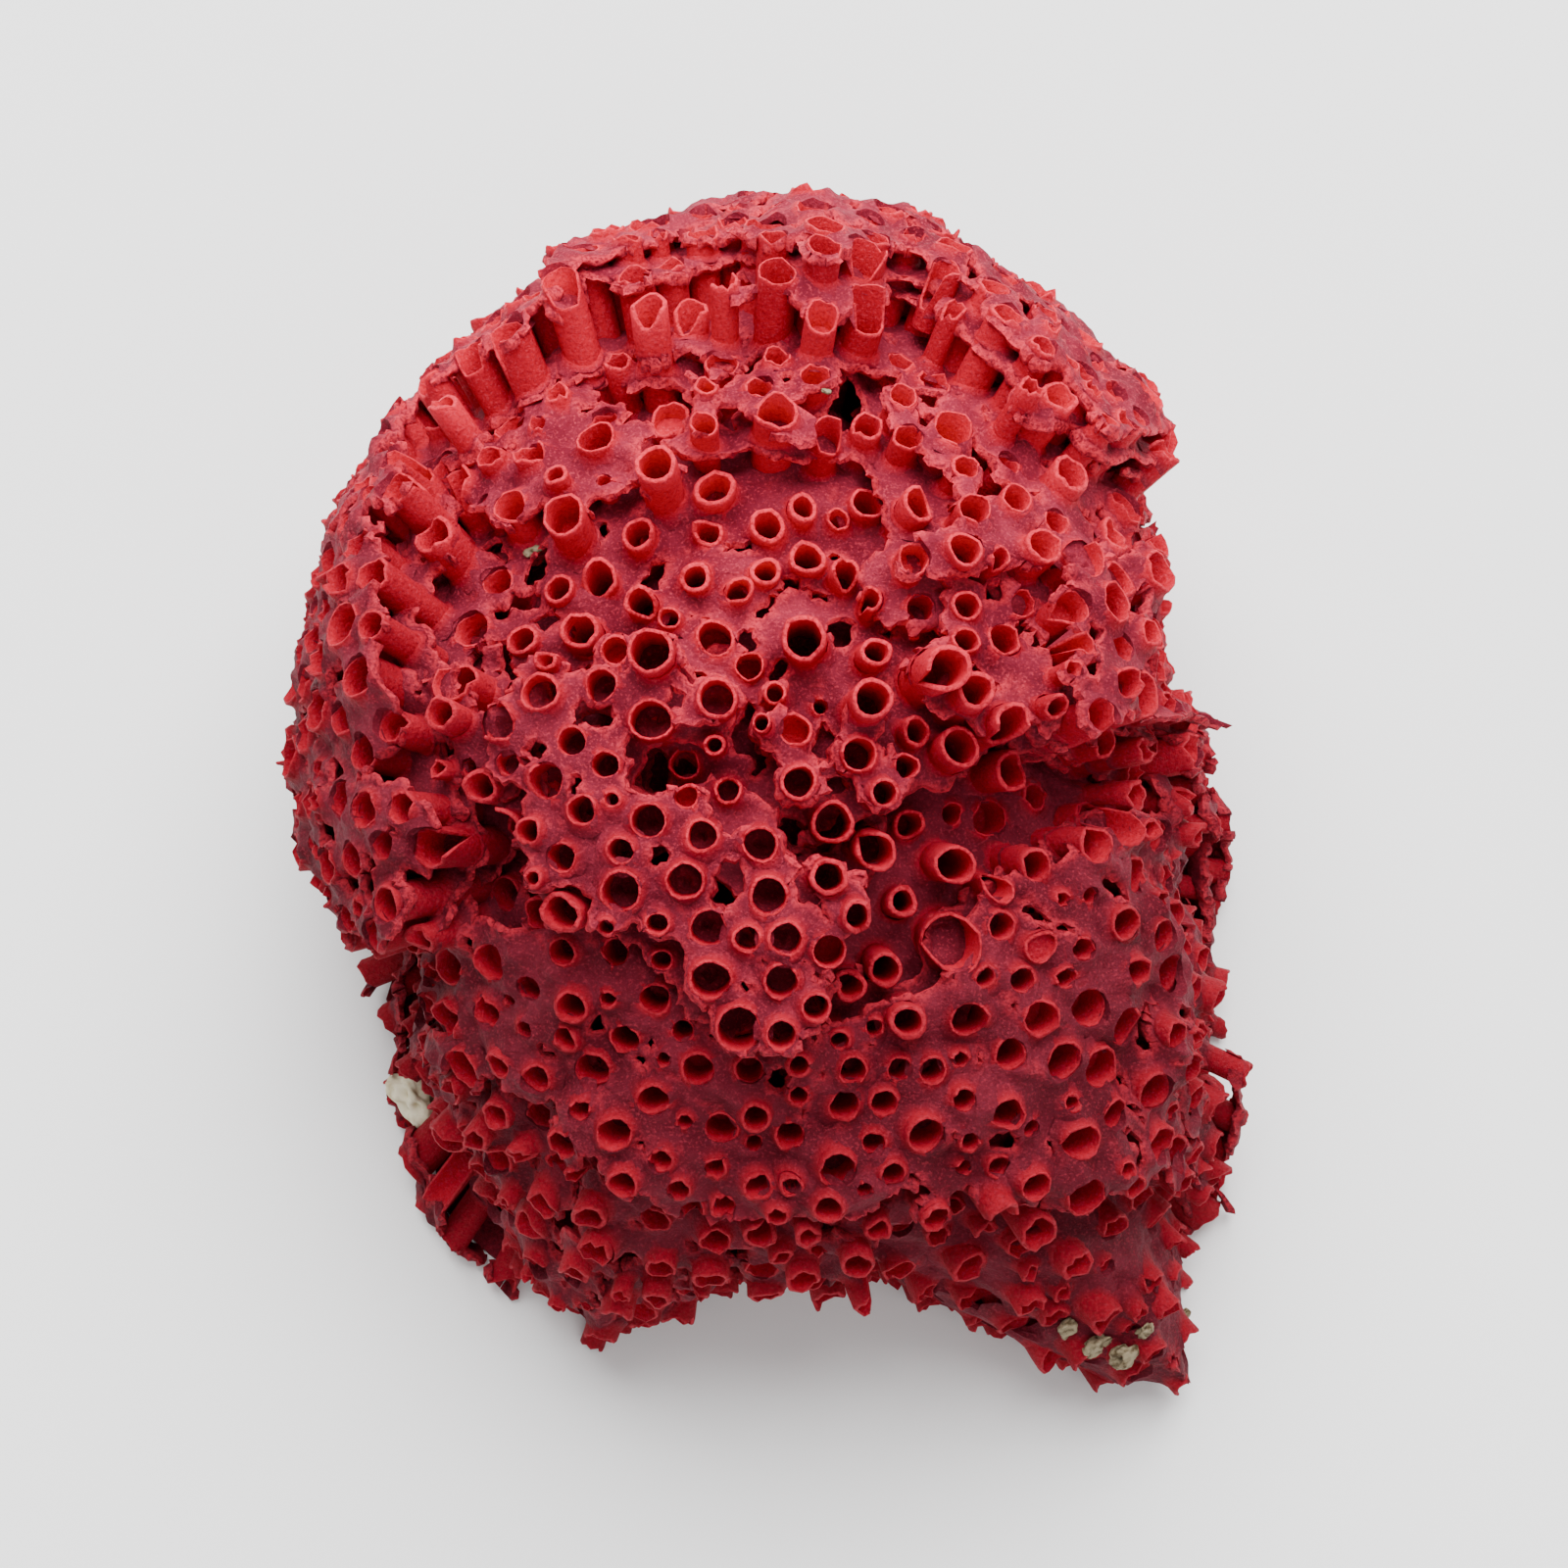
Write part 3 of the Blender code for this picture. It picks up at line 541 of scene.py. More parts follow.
# Tubes that stand out in the picture: x, u, outer radius, how far above its floor
LANDMARKS = [
    (3.3, 15.2, 0.7, 0.8), (6.4, 15.5, 0.8, 0.9), (-0.7, 16.1, 0.9, 1.1), (-3.2, 16.4, 0.95, 1.6),
    (-8.9, 6.6, 0.9, 0.3), (-4.2, 14.0, 0.75, 0.9), (-1.0, 14.0, 0.7, 0.8), (1.8, 14.3, 0.78, 0.9),
    (5.1, 14.6, 0.52, 0.6), (3.7, 12.9, 0.78, 1.2), (5.4, 12.2, 0.66, 2.0), (6.7, 10.9, 0.52, 0.8),
    (-1.6, 12.1, 0.7, 1.0), (0.3, 11.4, 0.61, 0.9), (1.6, 12.2, 0.66, 0.9), (-6.2, 12.0, 0.8, 1.1),
    (-4.1, 10.9, 0.7, 1.6), (-2.8, 10.0, 0.52, 0.5), (-6.8, 9.3, 0.85, 1.0), (-0.7, 9.1, 0.85, 0.05),
    (0.9, 7.8, 0.66, 0.1), (-3.6, 8.4, 0.99, 1.2), (3.7, 9.3, 0.99, 2.4), (6.7, 8.4, 0.7, 1.6),
    (-6.0, 6.9, 0.78, 0.25), (-0.6, 6.3, 0.89, 0.45), (1.4, 6.6, 0.7, -0.1), (-3.7, 5.3, 0.94, 0.25),
    (-7.4, 4.3, 0.7, 0.1), (-5.8, 3.2, 0.66, 0.1), (-2.1, 3.2, 0.7, 0.4), (-0.1, 2.0, 0.61, 0.3),
    (-6.9, 1.1, 0.7, 0.2), (-3.8, 0.6, 0.8, 0.2), (-1.3, -0.1, 0.75, 0.3), (1.4, -0.5, 0.8, 0.3),
    (-5.1, -0.8, 0.66, 0.1), (-7.9, -1.1, 0.7, 0.1), (-2.1, -2.2, 0.85, 0.15),
    (-5.1, -2.7, 0.94, 0.15), (1.8, -2.9, 0.89, 0.3), (-3.4, -4.2, 0.56, 0.2), (-1.0, -4.4, 0.85, 0.2),
    (0.8, -4.9, 0.66, 0.1), (2.6, -4.9, 0.8, 0.15), (-5.3, -5.5, 0.66, 0.1), (-3.2, -5.9, 0.52, 0.1),
    (-7.8, -5.5, 0.7, 0.1), (-0.9, -6.8, 0.94, 0.2), (2.4, -6.9, 0.8, 0.1), (6.6, 6.2, 0.89, 1.6),
    (6.0, 3.7, 0.8, 0.2), (3.2, 2.4, 0.8, 0.2), (8.6, 4.7, 0.66, 1.4), (4.8, 0.5, 0.94, 1.2),
    (6.7, -0.6, 0.85, 2.4), (7.2, 1.9, 0.66, 0.05), (4.6, -2.1, 0.8, 0.9), (5.7, -3.7, 0.7, 0.8),
    (8.1, -3.5, 0.7, 2.4), (7.1, -6.2, 0.75, 2.4), (10.4, -1.4, 0.89, 2.6), (12.0, -2.5, 0.61, 0.3),
    (13.4, -1.4, 0.75, 0.4), (10.5, -5.2, 1.17, 0.4), (10.8, 3.9, 0.89, 2.4), (13.1, 3.2, 0.89, 2.6),
    (9.3, 7.5, 0.99, 2.4), (11.5, 6.6, 0.85, 1.8), (13.2, 5.4, 0.8, 1.6), (12.8, 9.0, 0.85, 0.4),
    (11.0, 9.0, 0.61, 0.3), (8.4, 9.3, 0.56, 1.6), (10.4, 10.5, 0.99, 0.5), (11.0, 13.3, 0.8, 0.4),
    (12.6, 12.9, 0.47, 0.3), (10.3, 0.9, 0.56, 0.1), (12.6, -4.3, 0.7, 0.1), (11.9, -6.7, 0.56, 0.1),
    (13.6, -6.8, 0.66, 0.1), (4.2, 5.9, 0.42, 0.1), (-8.1, 11.5, 0.7, 0.9), (4.0, -8.1, 0.66, 0.2),
    (-7.4, -8.1, 0.75, 0.2), (-5.7, -7.7, 0.47, 0.2), (-3.5, -7.7, 0.75, 0.1), (-7.7, -9.6, 0.61, 0.1),
    (-4.9, -9.6, 0.7, 0.1), (-2.2, -9.2, 0.56, 0.1), (0.4, -9.1, 1.03, 0.1), (2.4, -9.4, 0.7, 0.1),
    (5.1, -9.6, 0.52, 0.1), (6.7, -9.0, 0.47, 0.2), (8.3, -8.8, 0.8, 1.2), (11.1, -8.6, 0.85, 0.15),
    (-6.4, -11.0, 0.85, 0.1), (-1.5, -11.0, 0.8, 0.1), (0.9, -11.0, 0.7, 0.1), (3.2, -10.8, 0.56, 0.3),
    (5.7, -11.0, 0.66, 0.15), (7.9, -11.0, 0.61, 0.1), (9.4, -11.0, 0.66, 0.1),
    (10.7, -10.5, 0.47, 0.1), (13.1, -10.3, 0.8, 0.1), (-3.6, -12.4, 0.8, 0.1),
    (-1.2, -12.5, 0.7, 0.1), (1.5, -12.6, 0.75, 0.1), (3.2, -12.2, 0.52, 0.1), (5.3, -12.6, 0.75, 0.2),
    (7.2, -12.6, 0.7, 0.1), (10.9, -12.4, 0.61, 0.1), (13.0, -13.1, 0.8, 0.1),
    (-6.7, -12.5, 0.52, 0.1), (-5.4, -14.0, 0.8, 0.1), (-2.1, -13.5, 0.42, 0.1),
    (-0.4, -13.8, 0.8, 0.1), (1.1, -14.4, 0.47, 0.1), (2.8, -14.0, 0.7, 0.2), (6.7, -14.4, 0.61, 0.1),
    (9.1, -14.0, 0.89, 0.25), (11.2, -14.4, 0.52, 0.1), (-3.2, -15.2, 0.61, 0.1),
    (-0.7, -15.6, 0.56, 0.1), (5.0, -15.6, 0.89, 0.2), (7.6, -15.9, 0.66, 0.1),
    (12.6, -15.6, 0.61, 0.1), (-2.4, -16.6, 0.61, 0.1), (1.3, -16.5, 0.66, 0.2),
    (2.2, -17.8, 0.52, 0.2), (-0.3, -17.5, 0.61, 0.1), (4.6, -17.5, 0.7, 0.1),
    (11.2, -20.4, 0.85, 0.9), (14.1, -22.1, 0.7, 0.8), (17.5, -22.6, 0.85, 0.8),
    (16.1, -20.1, 0.8, 0.7), (12.8, -17.9, 0.8, 1.0), (19.7, -20.9, 0.6, 0.3),
    (20.7, -19.0, 0.75, 0.2), (20.4, -22.2, 0.7, 0.4), (9.6, -17.9, 0.7, 0.6), (19.7, -24.2, 0.7, 0.2),
    (17.9, -18.4, 0.75, 0.5), (15.5, -21.4, 0.5, 0.3), (13.5, -19.2, 0.6, 0.5),
    (-10.9, -13.2, 0.75, 0.6), (-13.4, -13.2, 0.85, 0.4), (-9.8, -15.2, 0.65, 1.0),
    (-11.5, -15.9, 0.9, 0.6), (-6.2, -19.5, 0.8, 0.6), (-3.5, -17.9, 0.75, 0.4),
    (-0.7, -19.0, 0.75, 0.4), (-3.3, -20.3, 0.75, 0.4), (-6.5, -17.9, 0.8, 0.8),
    (-8.8, -17.2, 0.8, 0.6), (-5.0, -16.4, 0.7, 0.2),
]


def visible_floor(a, b, slack):
    """The outermost floor over each chart place, as an index."""
    top = np.full(a.shape, len(FLOORS) - 1)
    for index in range(len(FLOORS) - 1, -1, -1):
        top = np.where(sample(FLOORS[index].edge, a, b) > -slack, index, top)
    return top


def tube_places():
    """Where the tubes are: the ones that the photograph shows clearly, then others in between."""
    chance = np.random.default_rng(SEED)
    marked = [floor_at_mark(x, u, above + LIP)[1:] for x, u, _, above in LANDMARKS]
    rho = CHART_EDGE * np.sqrt(chance.uniform(0, 1, TUBE_TRIES))
    phi = chance.uniform(-math.pi, math.pi, TUBE_TRIES)
    size = np.clip(chance.normal(TUBE_SIZE, TUBE_SPREAD, TUBE_TRIES), *TUBE_RANGE)
    small = chance.uniform(0, 1, TUBE_TRIES) < SMALL_SHARE
    size = np.where(small, chance.uniform(*SMALL_RANGE, TUBE_TRIES), size)
    size *= np.linspace(FIRST_SIZE, LAST_SIZE, TUBE_TRIES)
    a = np.concatenate([[place_a for place_a, _ in marked], rho * np.cos(phi)])
    b = np.concatenate([[place_b for _, place_b in marked], rho * np.sin(phi)])
    radius = np.concatenate([[size for _, _, size, _ in LANDMARKS], size])
    stand = np.concatenate([[above for *_, above in LANDMARKS], np.full(TUBE_TRIES, UNMARKED)])
    top = visible_floor(a, b, STRAY)
    depth = np.zeros(len(a))
    for index, floor in enumerate(FLOORS):
        depth = np.where(top == index, sample(floor.depth, a, b), depth)
    point, grow = place(*chart_angles(a, b), 0.0)
    height = world_height(point - depth[:, None] * grow)
    gaps = np.array([TUBE_GAP.get(FLOORS[index].name, OTHER_GAP) for index in top])
    gaps[:len(LANDMARKS)] = 0
    radius = radius * np.array([WIDER.get(FLOORS[index].name, 1) for index in top])
    barred = height < 0.9 * radius
    for x, u, half_width, half_height, turn in WINDOWS:
        for deeper in WINDOW_DEPTHS:
            inner = point - (depth + deeper)[:, None] * grow
            room = half_width + WINDOW_ROOM[0], half_height + WINDOW_ROOM[1]
            barred |= ellipse_distance(inner, x, u, *room, turn) < 0
    mouth = point - (depth - MOUTH_HEIGHT)[:, None] * grow
    for bare in BARE:
        barred |= ellipse_distance(mouth, *bare) < 0
    barred |= np.linalg.norm(point - CRUMB_DEPTH * grow - CRUMB, axis=1) < CRUMB_ROOM + radius
    kept = []
    for i in range(len(a)):
        if barred[i]:
            continue
        if kept:
            others = np.array(kept)
            gap = np.linalg.norm(
                point[others] - point[i] - depth[i] * (grow[others] - grow[i]), axis=1
            )
            if np.any(gap < radius[others] + radius[i] + gaps[i]):
                continue
        kept.append(i)
    kept = np.array(kept)
    return SimpleNamespace(
        a=a[kept], b=b[kept], radius=radius[kept], stand=stand[kept], top=top[kept],
        depth=depth[kept], point=point[kept], grow=grow[kept], marked=kept < len(LANDMARKS),
    )


tubes = tube_places()
COUNT = len(tubes.a)


OLDER_WITHIN = 6  # how near the elders are that count
BIRTH_FROM, BIRTH_STEP = 1.5, 0.4  # how far below its floor a tube is followed first, and in what steps
SQUEEZE = 0.92  # how close two tubes' axes may come, as a share of both radii


def birth_depths():
    """How deep each tube goes before there is no room for it between its elders."""
    births = np.full(COUNT, HEART_DEPTH)
    point, grow, radius = tubes.point, tubes.grow, tubes.radius
    for i in range(1, COUNT):
        near = np.nonzero(np.linalg.norm(point[:i] - point[i], axis=1) < OLDER_WITHIN)[0]
        for depth in np.arange(tubes.depth[i] + BIRTH_FROM, HEART_DEPTH, BIRTH_STEP):
            gap = np.linalg.norm(point[near] - point[i] - depth * (grow[near] - grow[i]), axis=1)
            alive = (births[near] > depth) & (tubes.depth[near] < depth)
            if np.any(alive & (gap < SQUEEZE * (radius[near] + radius[i]))):
                births[i] = depth
                break
    return births


tubes.birth = birth_depths()


def finish_tubes():
    """How high each tube stands, how far its floor rises to meet it, and how deep it goes."""
    chance = np.random.default_rng(SEED + 1)
    a, b, top = tubes.a, tubes.b, tubes.top
    beside = np.full(COUNT, np.inf)
    above = np.zeros(COUNT)
    for index, floor in enumerate(FLOORS):
        edge = sample(floor.edge, a, b)
        under = (index < top) & (edge < 0) & (-edge < beside)
        beside = np.where(under, -edge, beside)
        above = np.where(under, tubes.depth - sample(floor.depth, a, b), above)
    proud = chance.uniform(0, 1, COUNT)
    low = chance.uniform(*LOW_RIM, COUNT)
    names = np.array([FLOORS[i].name for i in top])
    share = np.array([STANDING.get(name, STANDING["others"])[0] for name in names])
    tallest = np.array([STANDING.get(name, STANDING["others"])[1] for name in names])
    raised = STANDS + (tallest - STANDS) * chance.uniform(0, 1, COUNT)
    height = np.where(proud < share, raised, low)
    reach = above * chance.uniform(*CLIFF_REACH, COUNT)
    on_cliff = (beside < CLIFF) & (proud < CLIFF_SHARE)
    height = np.where(on_cliff, np.maximum(height, reach), height)
    lean = chart_angles(a, b)[0]
    shorter = 1 - SHORTER * smooth_step(SHORT_FROM, SHORT_TO, lean)
    height = np.where(height > 0, height * shorter, height)
    stand = np.where(tubes.stand == UNMARKED, np.minimum(height, TALLEST), tubes.stand)
    tubes.stand = stand
    tubes.lift = LIFT * np.where(stand < STANDS, chance.uniform(LEAST_LIFT, 1.0, COUNT), 1.0)
    bottom = tubes.depth + TUBE_DEPTH
    here = nearest_cell(a, b)
    for index, floor in enumerate(FLOORS):
        shown = floor.kept[here] & (index > top)
        bottom = np.where(shown, np.maximum(bottom, sample(floor.depth, a, b) + THROUGH), bottom)
    shallowest = tubes.depth + np.where(tubes.marked, MARKED_SHALLOW, SHALLOW)
    tubes.bottom = np.minimum(bottom, np.maximum(tubes.birth, shallowest))


finish_tubes()


def tangents(grow):
    """Two directions square to the way the tubes grow."""
    side = np.cross(grow, np.array([0.31, 0.2, 0.93]))
    side /= np.linalg.norm(side, axis=-1)[..., None]
    return side, np.cross(grow, side)


def chart_moves():
    """For each tube, how far a and b go for a millimetre along each tangent, at its own floor."""
    side, other = tangents(tubes.grow)
    tiny = 0.004
    a, b, depth = tubes.a, tubes.b, tubes.depth
    here = place(*chart_angles(a, b), depth)[0]
    by_a = (place(*chart_angles(a + tiny, b), depth)[0] - here) / tiny
    by_b = (place(*chart_angles(a, b + tiny), depth)[0] - here) / tiny
    jac = np.stack([
        np.stack([(by_a * side).sum(-1), (by_b * side).sum(-1)], -1),
        np.stack([(by_a * other).sum(-1), (by_b * other).sum(-1)], -1),
    ], -2)
    return side, other, np.linalg.inv(jac)


SIDE, OTHER, MOVES = chart_moves()
PSI = np.arange(SIDES) * 2 * np.pi / SIDES


def chart_ring(chosen, reach):
    """Points around some tubes: how far along each tangent, and where on the chart."""
    off = np.stack([reach * np.cos(PSI), reach * np.sin(PSI)], -1)
    move = np.einsum("nij,nkj->nki", MOVES[chosen], off)
    return off, tubes.a[chosen, None] + move[..., 0], tubes.b[chosen, None] + move[..., 1]


def shape_floors():
    """Open the tubes' bores in the floors, let broken edges end in webs between the tubes, and raise
    the floors a little towards each tube."""
    chance = np.random.default_rng(SEED + 2)
    collar = chance.uniform(*COLLAR, COUNT)
    web_width = WEB + 0.25 * Waves(51, 2.6)(SURFACE) + 0.05 * Waves(52, 0.9)(SURFACE)
    for index, floor in enumerate(FLOORS):
        floor.hole = np.full(LEAN.shape, NO_EDGE)
        floor.lift = np.zeros(LEAN.shape)
        nearest, second = np.full(LEAN.shape, NO_EDGE), np.full(LEAN.shape, NO_EDGE)
        web = np.full(LEAN.shape, -NO_EDGE)
        near_top = tubes.top == index
        passing = (tubes.top < index) & (tubes.bottom > floor.base - 0.3)
        for i in np.nonzero(near_top | passing)[0]:
            depth = sample(floor.depth, tubes.a[i], tubes.b[i])
            centre = tubes.point[i] - depth * tubes.grow[i]
            ci = int((tubes.a[i] - AXIS[0]) / STEP)
            cj = int((tubes.b[i] - AXIS[0]) / STEP)
            window = (slice(max(ci - NEAR_CELLS, 0), ci + NEAR_CELLS),
                      slice(max(cj - NEAR_CELLS, 0), cj + NEAR_CELLS))
            off = SURFACE[window] - floor.depth[window][..., None] * GROWTH[window] - centre
            off = off - (off @ tubes.grow[i])[..., None] * tubes.grow[i]
            away = np.linalg.norm(off, axis=-1) - tubes.radius[i]
            rise = tubes.lift[i] * np.exp(-np.maximum(away, 0) / LIFT_REACH) * (away > -0.6)
            floor.lift[window] = np.maximum(floor.lift[window], rise)
            second[window] = np.minimum(second[window], np.maximum(nearest[window], away))
            nearest[window] = np.minimum(nearest[window], away)
            web[window] = np.maximum(web[window], collar[i] - away)
            if near_top[i]:
                floor.hole[window] = np.minimum(floor.hole[window], away + 0.5 * WALL)
        web = np.maximum(web, web_width - np.maximum(nearest, 0) - np.maximum(second, 0))
        for name in ("edge", "lace"):
            field = getattr(floor, name)
            webbed = np.maximum(field - WEB_BEFORE, np.minimum(web, field + WEB_BEYOND))
            setattr(floor, name, np.minimum(webbed, NO_EDGE))
        floor.edge = np.minimum(np.minimum(floor.edge, floor.lace), floor.window)
        floor.nearest = nearest


shape_floors()


# Meshes
def clipped(field):
    """The chart's triangles where a field is above zero, cut along its zero line."""
    size = CELLS + 1
    ids = np.arange(size * size).reshape(size, size)
    p00, p10 = ids[:-1, :-1].ravel(), ids[1:, :-1].ravel()
    p01, p11 = ids[:-1, 1:].ravel(), ids[1:, 1:].ravel()
    flip = ((np.arange(CELLS)[:, None] + np.arange(CELLS)[None]) % 2).ravel().astype(bool)
    first = np.where(flip[:, None], np.stack([p00, p10, p01], 1), np.stack([p00, p10, p11], 1))
    last = np.where(flip[:, None], np.stack([p10, p11, p01], 1), np.stack([p00, p11, p01], 1))
    corners = np.concatenate([first, last])
    values = field.ravel()
    inside = values[corners] > 0
    count = inside.sum(1)
    whole = corners[count == 3]

    def turned(chosen, lead):
        rows = np.arange(len(chosen))[:, None]
        return chosen[rows, (lead[:, None] + np.arange(3)) % 3]

    one = turned(corners[count == 1], np.argmax(inside[count == 1], 1))
    two = turned(corners[count == 2], np.argmin(inside[count == 2], 1))
    cut = np.concatenate([one[:, [0, 1]], one[:, [0, 2]], two[:, [1, 0]], two[:, [2, 0]]])
    keys = cut.min(1) * size * size + cut.max(1)
    _, first_at, back = np.unique(keys, return_index=True, return_inverse=True)
    inner, outer = cut[first_at, 0], cut[first_at, 1]
    t = np.clip(values[inner] / (values[inner] - values[outer]), 0.03, 0.97)
    n1, n2 = len(one), len(two)
    new = back + size * size
    e1, e2, e3, e4 = new[:n1], new[n1:2 * n1], new[2 * n1:2 * n1 + n2], new[2 * n1 + n2:]
    faces = np.concatenate([
        whole,
        np.stack([one[:, 0], e1, e2], 1),
        np.stack([two[:, 1], two[:, 2], e4], 1),
        np.stack([two[:, 1], e4, e3], 1),
    ])
    flat_a, flat_b = GRID_A.ravel(), GRID_B.ravel()
    a = np.concatenate([flat_a, flat_a[inner] * (1 - t) + flat_a[outer] * t])
    b = np.concatenate([flat_b, flat_b[inner] * (1 - t) + flat_b[outer] * t])
    used, compact = np.unique(faces, return_inverse=True)
    return a[used], b[used], compact.reshape(-1, 3)


def joined_faces(faces, touching):
    """The faces without the loose flakes: patches that touch no tube, or are tiny."""
    label = np.arange(faces.max() + 1)
    while True:
        lowest = label.copy()
        np.minimum.at(lowest, faces.ravel(), np.repeat(label[faces].min(1), 3))
        lowest = lowest[lowest]
        if np.array_equal(lowest, label):
            break
        label = lowest
    size = np.bincount(label[faces[:, 0]], minlength=len(label))
    held = np.zeros(len(label), bool)
    held[label[touching]] = True
    patch = label[faces[:, 0]]
    return faces[(held[patch] & (size[patch] >= FLAKE_FACES)) | (size[patch] >= FREE_FACES)]


def open_edges(faces):
    """The directed edges that only one face has."""
    edges = np.concatenate([faces[:, [0, 1]], faces[:, [1, 2]], faces[:, [2, 0]]])
    keys = edges.min(1) * (faces.max() + 1) + edges.max(1)
    _, first_at, counts = np.unique(keys, return_index=True, return_counts=True)
    return edges[first_at[counts == 1]]


def new_piece(name, points, faces, material):
    """A piece from world points."""
    mesh = bpy.data.meshes.new(name)
    mesh.from_pydata(points.tolist(), [], faces)
    mesh.materials.append(material)
    piece = bpy.data.objects.new(name, mesh)
    bpy.context.scene.collection.objects.link(piece)
    return piece


def paint(mesh, coat):
    """Store for each point how much it is tube, how pale and broken, a chance value and how much painted
    light it has (low values are painted shade).
    """
    layer = mesh.color_attributes.new("coat", "FLOAT_COLOR", "POINT")
    layer.data.foreach_set("color", np.clip(coat, 0, [1, 1, 1, 4]).astype(np.float32).ravel())


def join_coral(piece):
    """Make a piece part of the colony."""
    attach(piece, "root")
    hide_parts("coral")


def mesh_piece(name, points, faces, coat, material, smooth_angle=50, thinned=1.0):
    """A painted piece of the colony, from crown-frame points."""
    piece = new_piece(name, to_world(points), faces, material)
    paint(piece.data, coat)
    mesh = piece.data
    if thinned < 1:
        piece.modifiers.new("thinned", "DECIMATE").ratio = thinned
        made = piece.evaluated_get(bpy.context.evaluated_depsgraph_get())
        piece.data = mesh = bpy.data.meshes.new_from_object(made)
        piece.modifiers.clear()
    mesh.shade_smooth()
    mesh.set_sharp_from_angle(angle=math.radians(smooth_angle))
    join_coral(piece)


def painted_light(point):
    """How much painted light and shade the colony has, from 0 (painted shade) at its foot to 1 (painted
    light) at its crest, and more on its right.
    """
    return smooth_step(-20, 14, point[..., 1] + 0.2 * point[..., 0] - 0.75 * np.abs(point[..., 0]))


# Grains that roughen the floors and their edges, patches of tint, and how thick the floors are
grain_a, grain_b, grain_c = Waves(31, 0.55, 24), Waves(32, 0.5, 24), Waves(33, 0.8, 24)
grain_d = Waves(36, 1.1, 24)
tint = Waves(34, 5.0, 16)
thin = Waves(35, 3.0, 16)


def floor_piece(floor, material):
    """A floor as a thin sheet with a rough rim, or nothing where none of it is left."""
    field = np.minimum(np.minimum(floor.edge, floor.hole), floor.height)
    field = np.where(floor.kept & ON_CHART, field, -0.2)
    a, b, faces = clipped(field)
    if len(faces):
        faces = joined_faces(faces, sample(floor.nearest, a, b) < FLAKE_REACH)
    if not len(faces):
        return
    used, compact = np.unique(faces, return_inverse=True)
    a, b, faces = a[used], b[used], compact.reshape(-1, 3)
    lift, edge, hole = sample(floor.lift, a, b), sample(floor.edge, a, b), sample(floor.hole, a, b)
    point, grow = place(*chart_angles(a, b), sample(floor.depth, a, b))
    thick = FLOOR_THICK * (1 + 0.18 * thin(point))
    worn = smooth_step(0.7, 0.0, edge)
    rough = (0.02 + 0.02 * worn) * grain_a(point) + 0.04 * grain_d(point)
    top = point + grow * (thick / 2 + lift + rough)[:, None]
    low = point - grow * (thick / 2 + 0.2 * lift - rough)[:, None]
    rim = open_edges(faces)
    count = len(a)
    along = point[rim[:, 1]] - point[rim[:, 0]]
    away = np.cross(along, grow[rim[:, 0]])
    away /= np.maximum(np.linalg.norm(away, axis=1), 1e-9)[:, None]
    outward = np.zeros((count, 3))
    np.add.at(outward, rim[:, 0], away)
    np.add.at(outward, rim[:, 1], away)
    on_rim = np.unique(rim)
    outward[on_rim] /= np.maximum(np.linalg.norm(outward[on_rim], axis=1), 1e-9)[:, None]
    broken = (edge < hole)[:, None] * 1.0
    top[on_rim] += (outward * (0.06 * grain_b(point) - 0.04)[:, None] * broken
                    + grow * (0.05 * grain_c(point))[:, None] * broken)[on_rim]
    low[on_rim] += (outward * (0.07 * grain_c(point) - 0.03)[:, None] * broken)[on_rim]
    mid = (top + low)[on_rim] / 2 + (outward * (0.12 + 0.06 * grain_a(point))[:, None] * broken)[on_rim]
    of_mid = np.full(count, -1)
    of_mid[on_rim] = 2 * count + np.arange(len(on_rim))
    i, j = rim[:, 0], rim[:, 1]
    quads = np.concatenate([
        np.stack([j, i, of_mid[i], of_mid[j]], 1),
        np.stack([of_mid[j], of_mid[i], i + count, j + count], 1),
    ])
    points = np.concatenate([top, low, mid])
    pale = 0.7 * smooth_step(0.2, 0.02, edge)
    chance = 0.5 + 0.25 * tint(point)
    # The last value is painted light and shade by place: darker at the foot, brighter at the crest and on
    # the right.
    coat = np.stack([np.zeros(count), pale, chance, painted_light(point)], 1)
    below = coat.copy()
    below[:, 1] *= 0.6
    middle = coat[on_rim].copy()
    middle[:, 1] = 1
    coat = np.concatenate([coat, below, middle])
    all_faces = faces.tolist() + (faces[:, ::-1] + count).tolist() + quads.tolist()
    kept = FACES_KEPT.get(floor.name, FACES_KEPT["others"])
    mesh_piece("floor_" + floor.name, points, all_faces, coat, material, thinned=kept)


def ring_noise(chance, sizes):
    """A smooth wobble around each tube, from a few waves."""
    total = np.zeros((COUNT, SIDES))
    for turns, size in sizes:
        phase = chance.uniform(0, 2 * np.pi, (COUNT, 1))
        total += size * chance.normal(0, 1, (COUNT, 1)) * np.cos(turns * PSI + phase)
    return total


# Waves around a tube and along its rim: how many, and their size
WOBBLE = [(2, 0.05), (3, 0.03), (5, 0.015)]
UNEVEN_RIM = [(1, 0.06), (2, 0.05), (3, 0.05), (5, 0.05)]
FINE_RIM, TORN_RIM = 0.045, 0.1
SLANT, SLANT_HIGHEST = 0.8, 1.2
BROKEN_SHARE, BROKEN = 0.65, (0.5, 3.0)  # how far a wall has broken down where its floor is gone
NOTCH_SHARE, NOTCH, NOTCH_WIDTH = 0.3, (0.2, 1.3), (0.5, 1.2)
PARTITION, MARKED_DEEPER = (0.8, 2.3), 0.8  # how deep the partition inside a tube is
SEALED_SHARE, SEALED_DEPTH = 0.012, 0.25
TILT, TILTED_FROM = 0.06, 0.3


